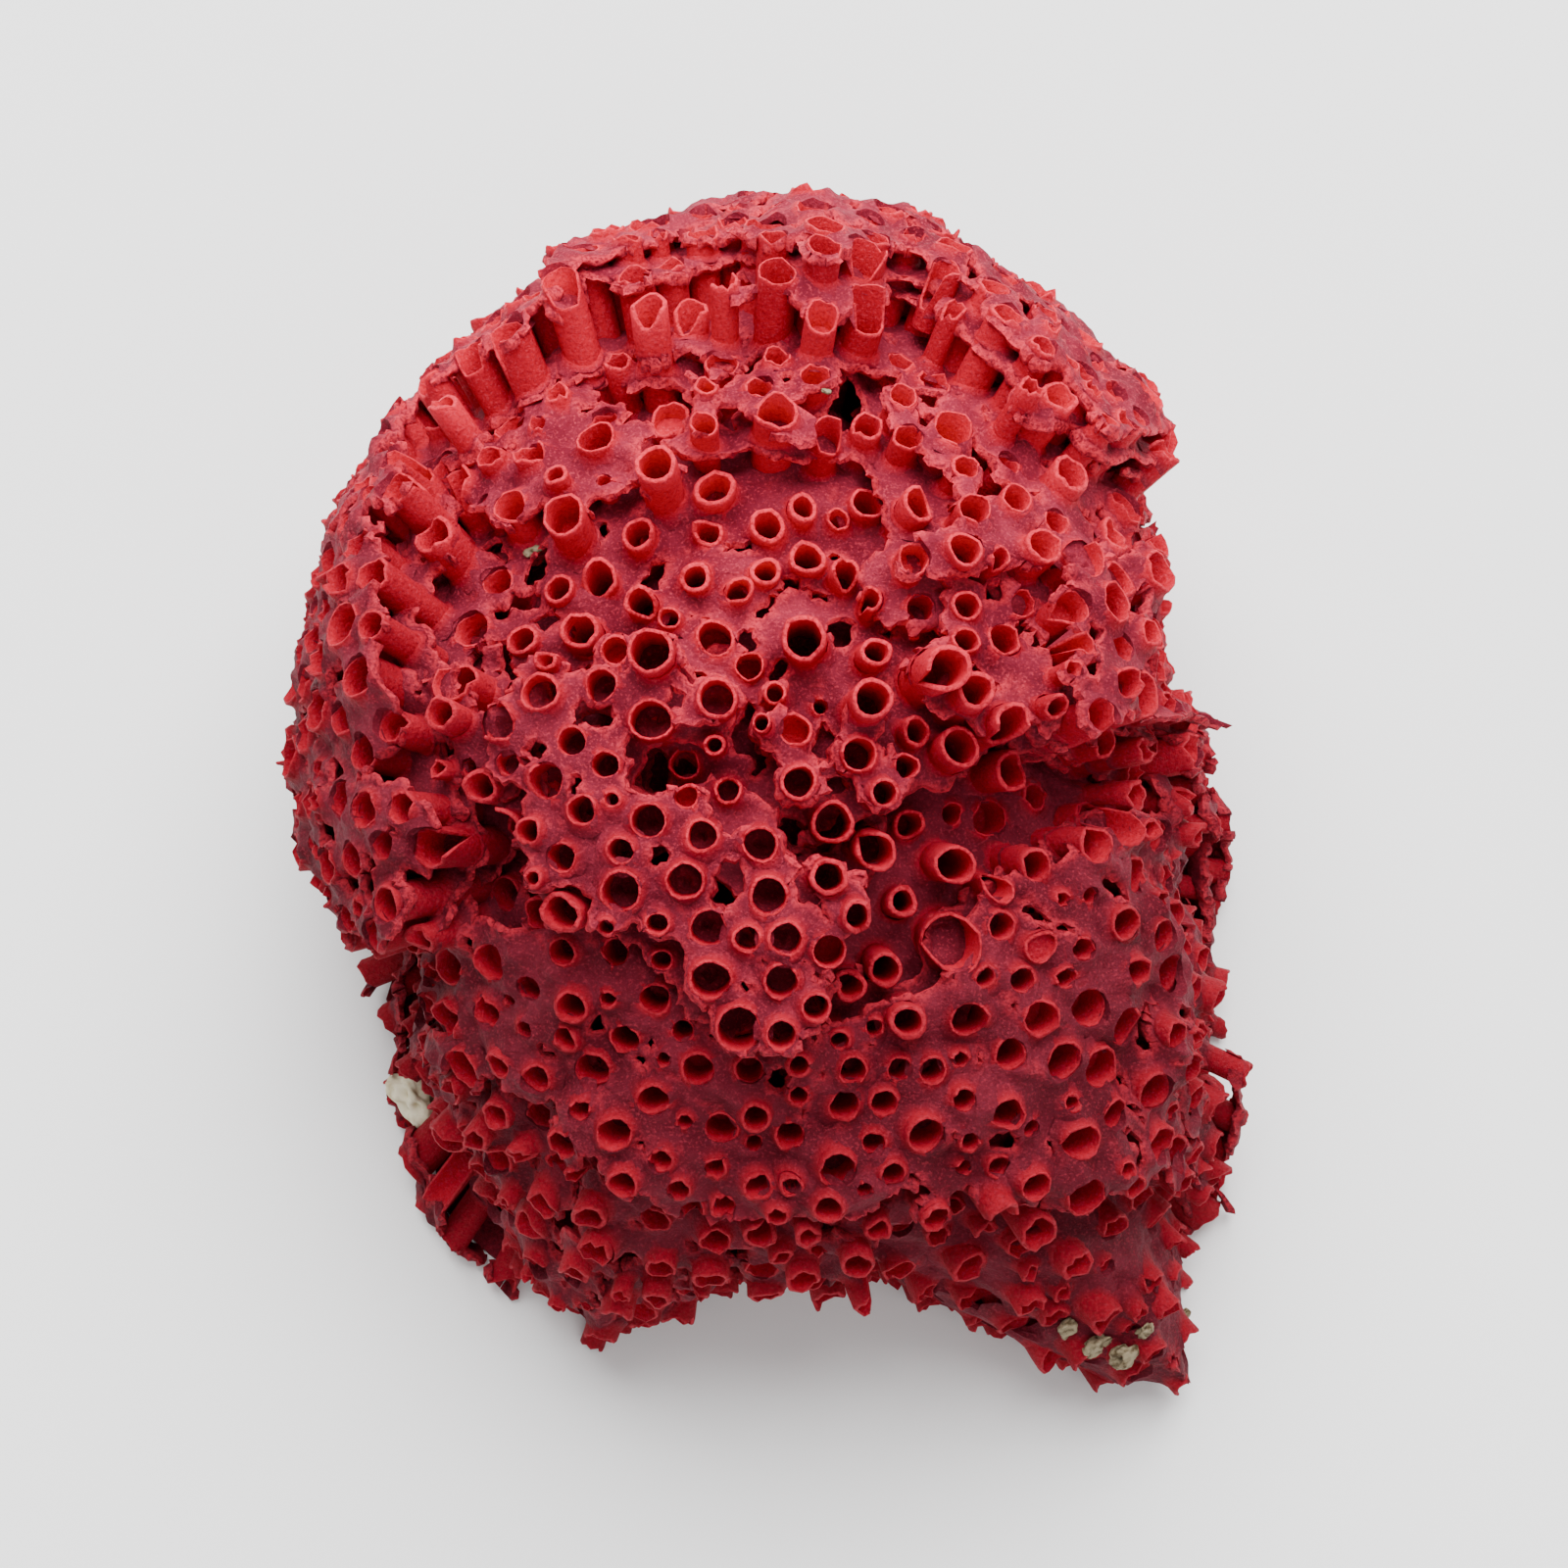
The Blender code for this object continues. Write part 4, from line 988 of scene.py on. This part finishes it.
def tube_geometry():
    """Each tube's rings from its foot over its torn rim and down its bore, then the middle of its
    partition, and with them a chance value, the rim's heights and the wobble."""
    chance = np.random.default_rng(SEED + 3)

    def each(low=0, high=1):
        return chance.uniform(low, high, (COUNT, 1))

    radius, stand = tubes.radius[:, None], tubes.stand[:, None]
    wobble = 1 + ring_noise(chance, WOBBLE)
    rough = ring_noise(chance, UNEVEN_RIM)
    torn = each() ** 2
    rough += chance.normal(0, FINE_RIM, (COUNT, SIDES))
    rough += torn * chance.normal(0, TORN_RIM, (COUNT, SIDES))
    slant = each() ** 3 * np.minimum(stand, SLANT_HIGHEST) * SLANT
    rough -= slant * (0.5 + 0.5 * np.cos(PSI + each(0, 2 * np.pi)))
    # where a floor has broken away through a tube, its wall is gone on that side
    _, ring_a, ring_b = chart_ring(np.arange(COUNT), radius)
    outside = np.zeros((COUNT, SIDES))
    for index, floor in enumerate(FLOORS):
        mine = tubes.top == index
        outside[mine] = -sample(floor.edge, ring_a[mine], ring_b[mine])
    breaks = (each() < BROKEN_SHARE) * each(*BROKEN)
    notch = each(*NOTCH) * (each() < NOTCH_SHARE)
    turned = PSI - each(0, 2 * np.pi)
    apart = np.abs((turned + np.pi) % (2 * np.pi) - np.pi) / each(*NOTCH_WIDTH)
    rough -= np.minimum(notch, 0.6 * stand + 0.15) * np.clip(1.3 - apart, 0, 1)
    rough -= breaks * smooth_step(-0.05, 0.55, outside)
    rim = FLOOR_THICK / 2 + tubes.lift[:, None] + stand + rough
    room = tubes.bottom[:, None] - tubes.depth[:, None]
    rim = np.maximum(rim, -room + 0.4)
    marked = tubes.marked[:, None]
    floor_at = -each(*PARTITION) - MARKED_DEEPER * marked
    floor_at = np.maximum(-room + 0.25, floor_at)
    floor_at = np.minimum(floor_at, rim.min(1)[:, None] - 0.12)
    sealed = (each() < SEALED_SHARE) & ~marked | (stand == CLOSED)
    floor_at = np.where(sealed, rim.min(1)[:, None] - SEALED_DEPTH, floor_at)
    wall = WALL + (STANDING_WALL - WALL) * smooth_step(0.3, 1.0, stand)
    wall = np.minimum(wall, 0.34 * radius) * each(0.85, 1.2)
    side, other, grow = SIDE[:, None], OTHER[:, None], tubes.grow[:, None]
    base = (tubes.point - tubes.depth[:, None] * tubes.grow)[:, None]
    tilt = chance.normal(0, TILT, (COUNT, 2)) * (stand > TILTED_FROM)
    lean = SIDE * tilt[:, :1] + OTHER * tilt[:, 1:]

    def ring(height, size):
        flat = side * np.cos(PSI)[None, :, None] + other * np.sin(PSI)[None, :, None]
        height = np.broadcast_to(height, (COUNT, SIDES))
        bend = np.maximum(height, 0)[..., None] * lean[:, None]
        return base + grow * height[..., None] + flat * (size * wobble)[..., None] + bend

    rings = [
        ring(-room, radius * 0.94), ring(np.minimum(rim - 0.16, rim * 0.4), radius),
        ring(rim - 0.08, radius + 0.01), ring(rim, radius - 0.3 * wall),
        ring(rim - 0.01, radius - wall + 0.03), ring(rim - 0.26, radius - wall),
        ring(floor_at, radius - wall * 1.1),
    ]
    hub = ring(floor_at, radius * 0)[:, :1]
    return np.concatenate([*rings, hub], 1), chance.uniform(0, 1, COUNT), rim, wobble


def tube_faces(first, rows, count, centre):
    """Faces for tubes whose rings are stored one tube after another, perhaps closed at the last one."""
    base = first + np.arange(count)[:, None, None] * (rows * SIDES + (1 if centre else 0))
    row = np.arange(rows - 1)[None, :, None] * SIDES
    k = np.arange(SIDES)[None, None]
    following = (k + 1) % SIDES
    quads = np.stack([
        base + row + k, base + row + following, base + row + SIDES + following, base + row + SIDES + k,
    ], -1).reshape(-1, 4).tolist()
    if centre:
        last = first + np.arange(count)[:, None] * (rows * SIDES + 1) + (rows - 1) * SIDES
        k, following = k[0], following[0]
        hub = last + SIDES
        caps = np.stack([last + k, last + following, np.broadcast_to(hub, (count, SIDES))], -1)
        quads += caps.reshape(-1, 3).tolist()
    return quads


# For each ring of a tube and for the middle of the partition inside it: tube, pale, and added light
TUBE_COATS = [(1, 0, 0), (1, 0, 0), (1, 0.1, 0), (1, 1.0, 0), (1, 0.4, 0.1), (1, 0, 0.4), (0.8, 0, 0.5)]
HUB_COAT = (0.7, 0, 0.5)


def tube_pieces(material):
    """The tubes in three groups by their depth, and their flares."""
    body, shade, rim, wobble = tube_geometry()
    rows = len(TUBE_COATS)
    coats = np.concatenate([np.repeat(TUBE_COATS, SIDES, axis=0), [HUB_COAT]])
    coat = np.zeros((COUNT, rows * SIDES + 1, 4))
    coat[..., :2] = coats[:, :2]
    coat[..., 2] = shade[:, None]
    # The last value is painted light and shade by place, plus painted light added inside each bore and on
    # its partition.
    coat[..., 3] = painted_light(tubes.point)[:, None] + coats[:, 2]
    depth = tubes.depth
    groups = {"upper": depth < 3.0, "middle": (depth >= 3.0) & (depth < 5.8), "lower": depth >= 5.8}
    for name, chosen in groups.items():
        faces = tube_faces(0, rows, int(chosen.sum()), True)
        points = body[chosen].reshape(-1, 3)
        mesh_piece("tubes_" + name, points, faces, coat[chosen].reshape(-1, 4), material, 60)
    flare_piece(rim, wobble, shade, material)


# For each ring of a flare: how far out from the wall, how far above the floor, how much it is tube, and
# how much it has of its tube's shade
FLARE = [(0.5, -0.05, 0.0, 0.0), (0.22, 0.03, 0.2, 0.3), (0.08, 0.08, 0.6, 0.7), (0.0, 0.2, 1.0, 1.0)]
IN_WALL = 0.97  # the last ring's share of the tube's radius
FLARE_BELOW = 0.2  # how far below a floor a tube has to go to have a flare there
FLARE_EDGE = -0.6  # how far beyond a floor's edge a tube may be to have one
UNDER_RIM = 0.04  # how far a flare stays below its tube's rim


def flare_piece(rim, wobble, shade, material):
    """The flare where each tube rises out of a floor."""
    points, coats, faces, total = [], [], [], 0
    a, b, rows = tubes.a, tubes.b, len(FLARE)
    here = nearest_cell(a, b)
    for index, floor in enumerate(FLOORS):
        depth = sample(floor.depth, a, b)
        own = tubes.top == index
        passing = (tubes.top < index) & (tubes.bottom > depth + FLARE_BELOW)
        shown = own | (passing & floor.kept[here] & ~floor.hidden[here])
        chosen = np.nonzero(shown & (sample(floor.edge, a, b) > FLARE_EDGE))[0]
        if not len(chosen):
            continue
        wall = tubes.radius[chosen, None] * wobble[chosen]
        ceiling = np.where(own[chosen, None], rim[chosen], np.inf) - UNDER_RIM
        axis = tubes.grow[chosen, None]
        centre = tubes.point[chosen, None] - depth[chosen, None, None] * axis
        coat = np.zeros((len(chosen), rows, SIDES, 4))
        # The last value is painted light and shade by place, as on the floors.
        coat[..., 3] = painted_light(tubes.point[chosen])[:, None, None]
        rings = []
        for row, (out, up, tube, own_shade) in enumerate(FLARE):
            reach = wall + out if out else wall * IN_WALL
            _, ring_a, ring_b = chart_ring(chosen, reach)
            inside = smooth_step(-0.1, 0.25, sample(floor.edge, ring_a, ring_b))
            reach = wall * IN_WALL + (reach - wall * IN_WALL) * inside
            off, ring_a, ring_b = chart_ring(chosen, reach)
            surface, _ = place(*chart_angles(ring_a, ring_b), sample(floor.depth, ring_a, ring_b))
            lift = tubes.lift[chosen, None] * math.exp(-out / LIFT_REACH)
            height = ((surface - centre) * axis).sum(-1) + FLOOR_THICK / 2 + lift + up
            height = np.minimum(height, ceiling)
            flat = SIDE[chosen, None] * off[..., :1] + OTHER[chosen, None] * off[..., 1:]
            rings.append(centre + flat + axis * height[..., None])
            coat[:, row, :, 0] = tube
            coat[:, row, :, 2] = shade[chosen, None] * own_shade + 0.5 * (1 - own_shade)
        points.append(np.stack(rings, 1).reshape(-1, 3))
        coats.append(coat.reshape(-1, 4))
        faces += tube_faces(total, rows, len(chosen), False)
        total += len(chosen) * rows * SIDES
    mesh_piece("tube_flares", np.concatenate(points), faces, np.concatenate(coats), material, 80)


def heart_piece(material):
    """The solid heart of the colony, behind everything else."""
    axis = np.linspace(-CHART_EDGE, CHART_EDGE, HEART_CELLS + 1)
    a, b = np.meshgrid(axis, axis, indexing="ij")
    size = HEART_CELLS + 1
    point, _ = place(*chart_angles(a, b), HEART_DEPTH)
    ids = np.arange(size * size).reshape(size, size)
    ok = np.hypot(a, b) < CHART_EDGE
    cells = ok[:-1, :-1] & ok[1:, :-1] & ok[:-1, 1:] & ok[1:, 1:]
    quads = np.stack([ids[:-1, :-1], ids[1:, :-1], ids[1:, 1:], ids[:-1, 1:]], -1)[cells]
    used, compact = np.unique(quads, return_inverse=True)
    faces = compact.reshape(-1, 4)
    rim = np.concatenate([faces[:, [k, (k + 1) % 4]] for k in range(4)])
    _, first_at, counts = np.unique(np.sort(rim, 1), axis=0, return_index=True, return_counts=True)
    rim = rim[first_at[counts == 1]]
    points = point.reshape(-1, 3)[used]
    pole = points[np.unique(rim)].mean(0)
    closing = [(int(j), int(i), len(points)) for i, j in rim]
    points = np.concatenate([points, [pole]])
    coat = np.zeros((len(points), 4))
    coat[:, 2] = 0.5
    mesh_piece("heart", points, faces.tolist() + closing, coat, material)


def foot_piece(material):
    """The flat cut that the colony rests on: a thin plate out to where its outermost floors end."""
    x, y = [], []
    for floor in FLOORS:
        low = (np.abs(floor.height) < FOOT_BAND) & (floor.edge > 0) & floor.kept & ON_CHART
        point = to_world(SURFACE[low] - floor.depth[low][:, None] * GROWTH[low]) / MM
        x.append(point[:, 0])
        y.append(point[:, 1])
    x, y = np.concatenate(x), np.concatenate(y)
    middle = np.array([x.mean(), y.mean()])
    count = FOOT_CORNERS
    turn = np.arctan2(y - middle[1], x - middle[0]) / (2 * np.pi) * count
    reach = np.zeros(count)
    np.maximum.at(reach, np.floor(turn).astype(int) % count, np.hypot(x - middle[0], y - middle[1]))
    reach = np.minimum(reach, (np.roll(reach, 1) + np.roll(reach, -1)) / 2) - FOOT_INSET
    angle = (np.arange(count) + 0.5) * 2 * np.pi / count
    ring = middle + reach[:, None] * np.stack([np.cos(angle), np.sin(angle)], 1)
    points = [(px, py, z) for z in (0.0, FOOT_THICK) for px, py in ring]
    points += [(*middle, 0.0), (*middle, FOOT_THICK)]
    faces = []
    for k in range(count):
        following = (k + 1) % count
        faces.append((k, following, following + count, k + count))
        faces.append((following, k, 2 * count))
        faces.append((k + count, following + count, 2 * count + 1))
    piece = new_piece("foot", np.array(points) * MM, faces, material)
    paint(piece.data, np.tile([0.0, 0.3, 0.5, 0.0], (len(points), 1)))
    join_coral(piece)


def lump(centre, out, sizes, hollows, seed, detail, uneven=1.0):
    """A rough lump with hollows in it."""
    made = bmesh.new()
    bmesh.ops.create_icosphere(made, subdivisions=detail, radius=1)
    ball = np.array([tuple(vertex.co) for vertex in made.verts])
    faces = [[vertex.index for vertex in face.verts] for face in made.faces]
    made.free()
    rough = 0.1 * Waves(seed, 2.2)(ball) - 0.1 * np.abs(Waves(seed + 1, 1.5)(ball))
    rough = 1 + uneven * (rough + 0.02 * Waves(seed + 2, 0.4)(ball))
    for hollow in hollows:
        apart = np.linalg.norm(ball - np.array(hollow) / np.linalg.norm(hollow), axis=1)
        rough -= 0.5 * np.exp(-((apart / 0.27) ** 2))
    up = np.array([0, 1, 0]) - out * out[1]
    up /= np.linalg.norm(up)
    axes = np.stack([out, np.cross(up, out), up])
    return centre + (ball * rough[:, None] * np.array(sizes)) @ axes, faces


def crumb_piece():
    """The scrap of pale shell."""
    points, faces = lump(CRUMB, CRUMB_OUT, CRUMB_SIZE, CRUMB_HOLLOWS, 71, 5)
    shell = scrap_material("shell", (0.46, 0.38, 0.23, 1), (0.74, 0.68, 0.50, 1), 1300)
    piece = new_piece("crumb", to_world(points), faces, shell)
    piece.data.shade_smooth()
    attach(piece, "root")
    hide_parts("shell_crumb")


def grit_piece():
    """Grit and bits of shell stuck on the coral."""
    points, faces, total = [], [], 0
    for number, (x, u, size) in enumerate(GRIT):
        floor, a, b = floor_at_mark(x, u, LIP)
        depth = sample(floor.depth, np.array(a), np.array(b)) - LIP * 0.5
        centre, out = place(*chart_angles(a, b), depth)
        sizes = (0.5 * size, size, 0.8 * size)
        more, corners = lump(centre, out, sizes, [], 80 + 3 * number, 4, GRIT_UNEVEN)
        points.append(more)
        faces += [[corner + total for corner in face] for face in corners]
        total += len(more)
    grit = scrap_material("grit", (0.07, 0.045, 0.02, 1), (0.26, 0.21, 0.13, 1), 3200)
    piece = new_piece("grit", to_world(np.concatenate(points)), faces, grit)
    piece.data.shade_smooth()
    join_coral(piece)


# Materials
def feed(tree, node, inputs):
    """Set a node's inputs to values, or link them to other nodes' outputs."""
    for name, value in inputs.items():
        if isinstance(value, bpy.types.NodeSocket):
            tree.links.new(value, node.inputs[name])
        else:
            node.inputs[name].default_value = value


def add(tree, kind, inputs=None, **values):
    """A node with its settings and inputs."""
    node = tree.nodes.new(kind)
    for name, value in values.items():
        setattr(node, name, value)
    feed(tree, node, inputs or {})
    return node


def shader(name, base=(0.5, 0.5, 0.5, 1), roughness=0.5):
    """A material, its nodes and its surface shader."""
    material = bpy.data.materials.new(name)
    material.use_nodes = True
    surface = material.node_tree.nodes["Principled BSDF"]
    feed(material.node_tree, surface, {"Base Color": base, "Roughness": roughness})
    return material, material.node_tree, surface


def noise(tree, scale, detail, rough=0.5):
    """Noise in the piece's own space."""
    where = add(tree, "ShaderNodeTexCoord").outputs["Object"]
    inputs = {"Vector": where, "Scale": scale, "Detail": detail, "Roughness": rough}
    return add(tree, "ShaderNodeTexNoise", inputs).outputs["Fac"]


def bumps(tree, height, strength, distance):
    """Fine unevenness as a normal."""
    inputs = {"Height": height, "Strength": strength, "Distance": distance}
    return add(tree, "ShaderNodeBump", inputs).outputs["Normal"]


def scrap_material(name, dark, light_colour, scale):
    """Chalky shell or grit, browner in its hollows."""
    material, tree, surface = shader(name, roughness=0.75)
    blotch = noise(tree, scale, 5)
    colours = add(tree, "ShaderNodeValToRGB", {"Fac": blotch})
    low, high = colours.color_ramp.elements
    low.position, low.color = 0.36, dark
    high.position, high.color = 0.56, light_colour
    feed(tree, surface, {
        "Base Color": colours.outputs["Color"], "Normal": bumps(tree, blotch, 0.6, 0.0001),
        "Specular IOR Level": 0.2,
    })
    return material


MIX_FACTOR, MIX_LOW, MIX_HIGH, MIX_RESULT = 0, 6, 7, 2  # the colour sockets of a mix node


def coral_material():
    """Deep red floors, brighter tubes and pale crumbly rims, with painted light towards the crest and in
    the bores and painted shade towards the foot.
    """
    material, tree, surface = shader("coral", roughness=0.6)
    coat = add(tree, "ShaderNodeAttribute", attribute_name="coat")
    split = add(tree, "ShaderNodeSeparateColor", {"Color": coat.outputs["Color"]})
    tube, broken, shade = (split.outputs[name] for name in ("Red", "Green", "Blue"))

    def mixed(factor, low, high):
        inputs = {MIX_FACTOR: factor, MIX_LOW: low, MIX_HIGH: high}
        return add(tree, "ShaderNodeMix", inputs, data_type="RGBA").outputs[MIX_RESULT]

    def ramp(value, low, high, top=1.0):
        inputs = {"Value": value, "From Min": low, "From Max": high, "To Max": top}
        return add(tree, "ShaderNodeMapRange", inputs).outputs["Result"]

    fine = noise(tree, 5500, 3, 0.6)
    blotches = ramp(noise(tree, 320, 4, 0.6), 0.38, 0.62)
    floor_colour = mixed(blotches, (0.15, 0.005, 0.018, 1), (0.26, 0.016, 0.038, 1))
    wall_colour = mixed(shade, (0.43, 0.003, 0.018, 1), (0.60, 0.010, 0.032, 1))
    colour = mixed(tube, floor_colour, wall_colour)
    crumbly = add(tree, "ShaderNodeMath", {0: broken, 1: ramp(fine, 0.30, 0.56)}, operation="MULTIPLY")
    colour = mixed(crumbly.outputs[0], colour, (0.74, 0.028, 0.056, 1))
    colour = mixed(ramp(fine, 0.52, 0.36, 0.3), colour, (0.13, 0.001, 0.006, 1))
    dust = ramp(noise(tree, 7800, 2, 0.5), 0.54, 0.68, 0.45)
    colour = mixed(dust, colour, (0.60, 0.045, 0.08, 1))
    # Painted light and shade: the colour is scaled from 0.50 to 1.13 by the painted light stored with
    # each point.
    painted_light_scale = add(tree, "ShaderNodeMapRange", {
        "Value": coat.outputs["Alpha"], "To Min": 0.50, "To Max": 1.13,
    }, clamp=False)
    strength = add(tree, "ShaderNodeVectorMath", {
        0: colour, "Scale": painted_light_scale.outputs["Result"],
    }, operation="SCALE")
    feed(tree, surface, {
        "Base Color": strength.outputs["Vector"],
        "Normal": bumps(tree, noise(tree, 4200, 5, 0.7), 0.9, 0.00018),
        "Subsurface Weight": 0.08, "Subsurface Radius": (1.0, 0.14, 0.12), "Subsurface Scale": 0.0003,
        "Specular IOR Level": 0.1,
    })
    return material


CORAL = coral_material()
for floor in FLOORS:
    floor_piece(floor, CORAL)
tube_pieces(CORAL)
heart_piece(CORAL)
foot_piece(CORAL)
crumb_piece()
grit_piece()

# The floor, the light and the camera
ground_mesh = bpy.data.meshes.new("ground")
ground_mesh.from_pydata([(-3, -3, 0), (3, -3, 0), (3, 3, 0), (-3, 3, 0)], [], [(0, 1, 2, 3)])
ground = bpy.data.objects.new("ground", ground_mesh)
bpy.context.scene.collection.objects.link(ground)
pale, _, _ = shader("pale_floor", (0.93, 0.93, 0.93, 1), 0.8)
ground_mesh.materials.append(pale)


def light(name, position, target, size, power):
    """A soft round lamp."""
    lamp = bpy.data.lights.new(name, "AREA")
    lamp.shape = "DISK"
    lamp.size = size
    lamp.energy = power
    holder = bpy.data.objects.new(name, lamp)
    holder.location = position
    holder.rotation_euler = (Vector(target) - Vector(position)).to_track_quat("-Z", "Y").to_euler()
    bpy.context.scene.collection.objects.link(holder)


light("key", (0.02, 0.28, 0.46), (0, 0, 0.012), 0.70, 10.5)
light("fill", (0.15, -0.35, 0.40), (0, 0, 0.012), 0.45, 0.9)
world = bpy.data.worlds.new("studio")
world.use_nodes = True
world.node_tree.nodes["Background"].inputs["Color"].default_value = (1, 1, 1, 1)
world.node_tree.nodes["Background"].inputs["Strength"].default_value = 0.51
bpy.context.scene.world = world

SENSOR = 36
camera_data = bpy.data.cameras.new("camera")
camera = bpy.data.objects.new("camera", camera_data)
bpy.context.scene.collection.objects.link(camera)
camera_data.sensor_width = SENSOR
camera_data.lens = SENSOR * SEEN_FROM / FRAME_WIDTH
camera_data.clip_start = 0.005
aim = np.array([AIM[0], AIM[1], 0.0])
eye = to_world(aim + np.array([0, 0, SEEN_FROM]))
camera.location = eye
camera.rotation_euler = (CROWN_LEAN, 0, 0)
bpy.context.scene.camera = camera
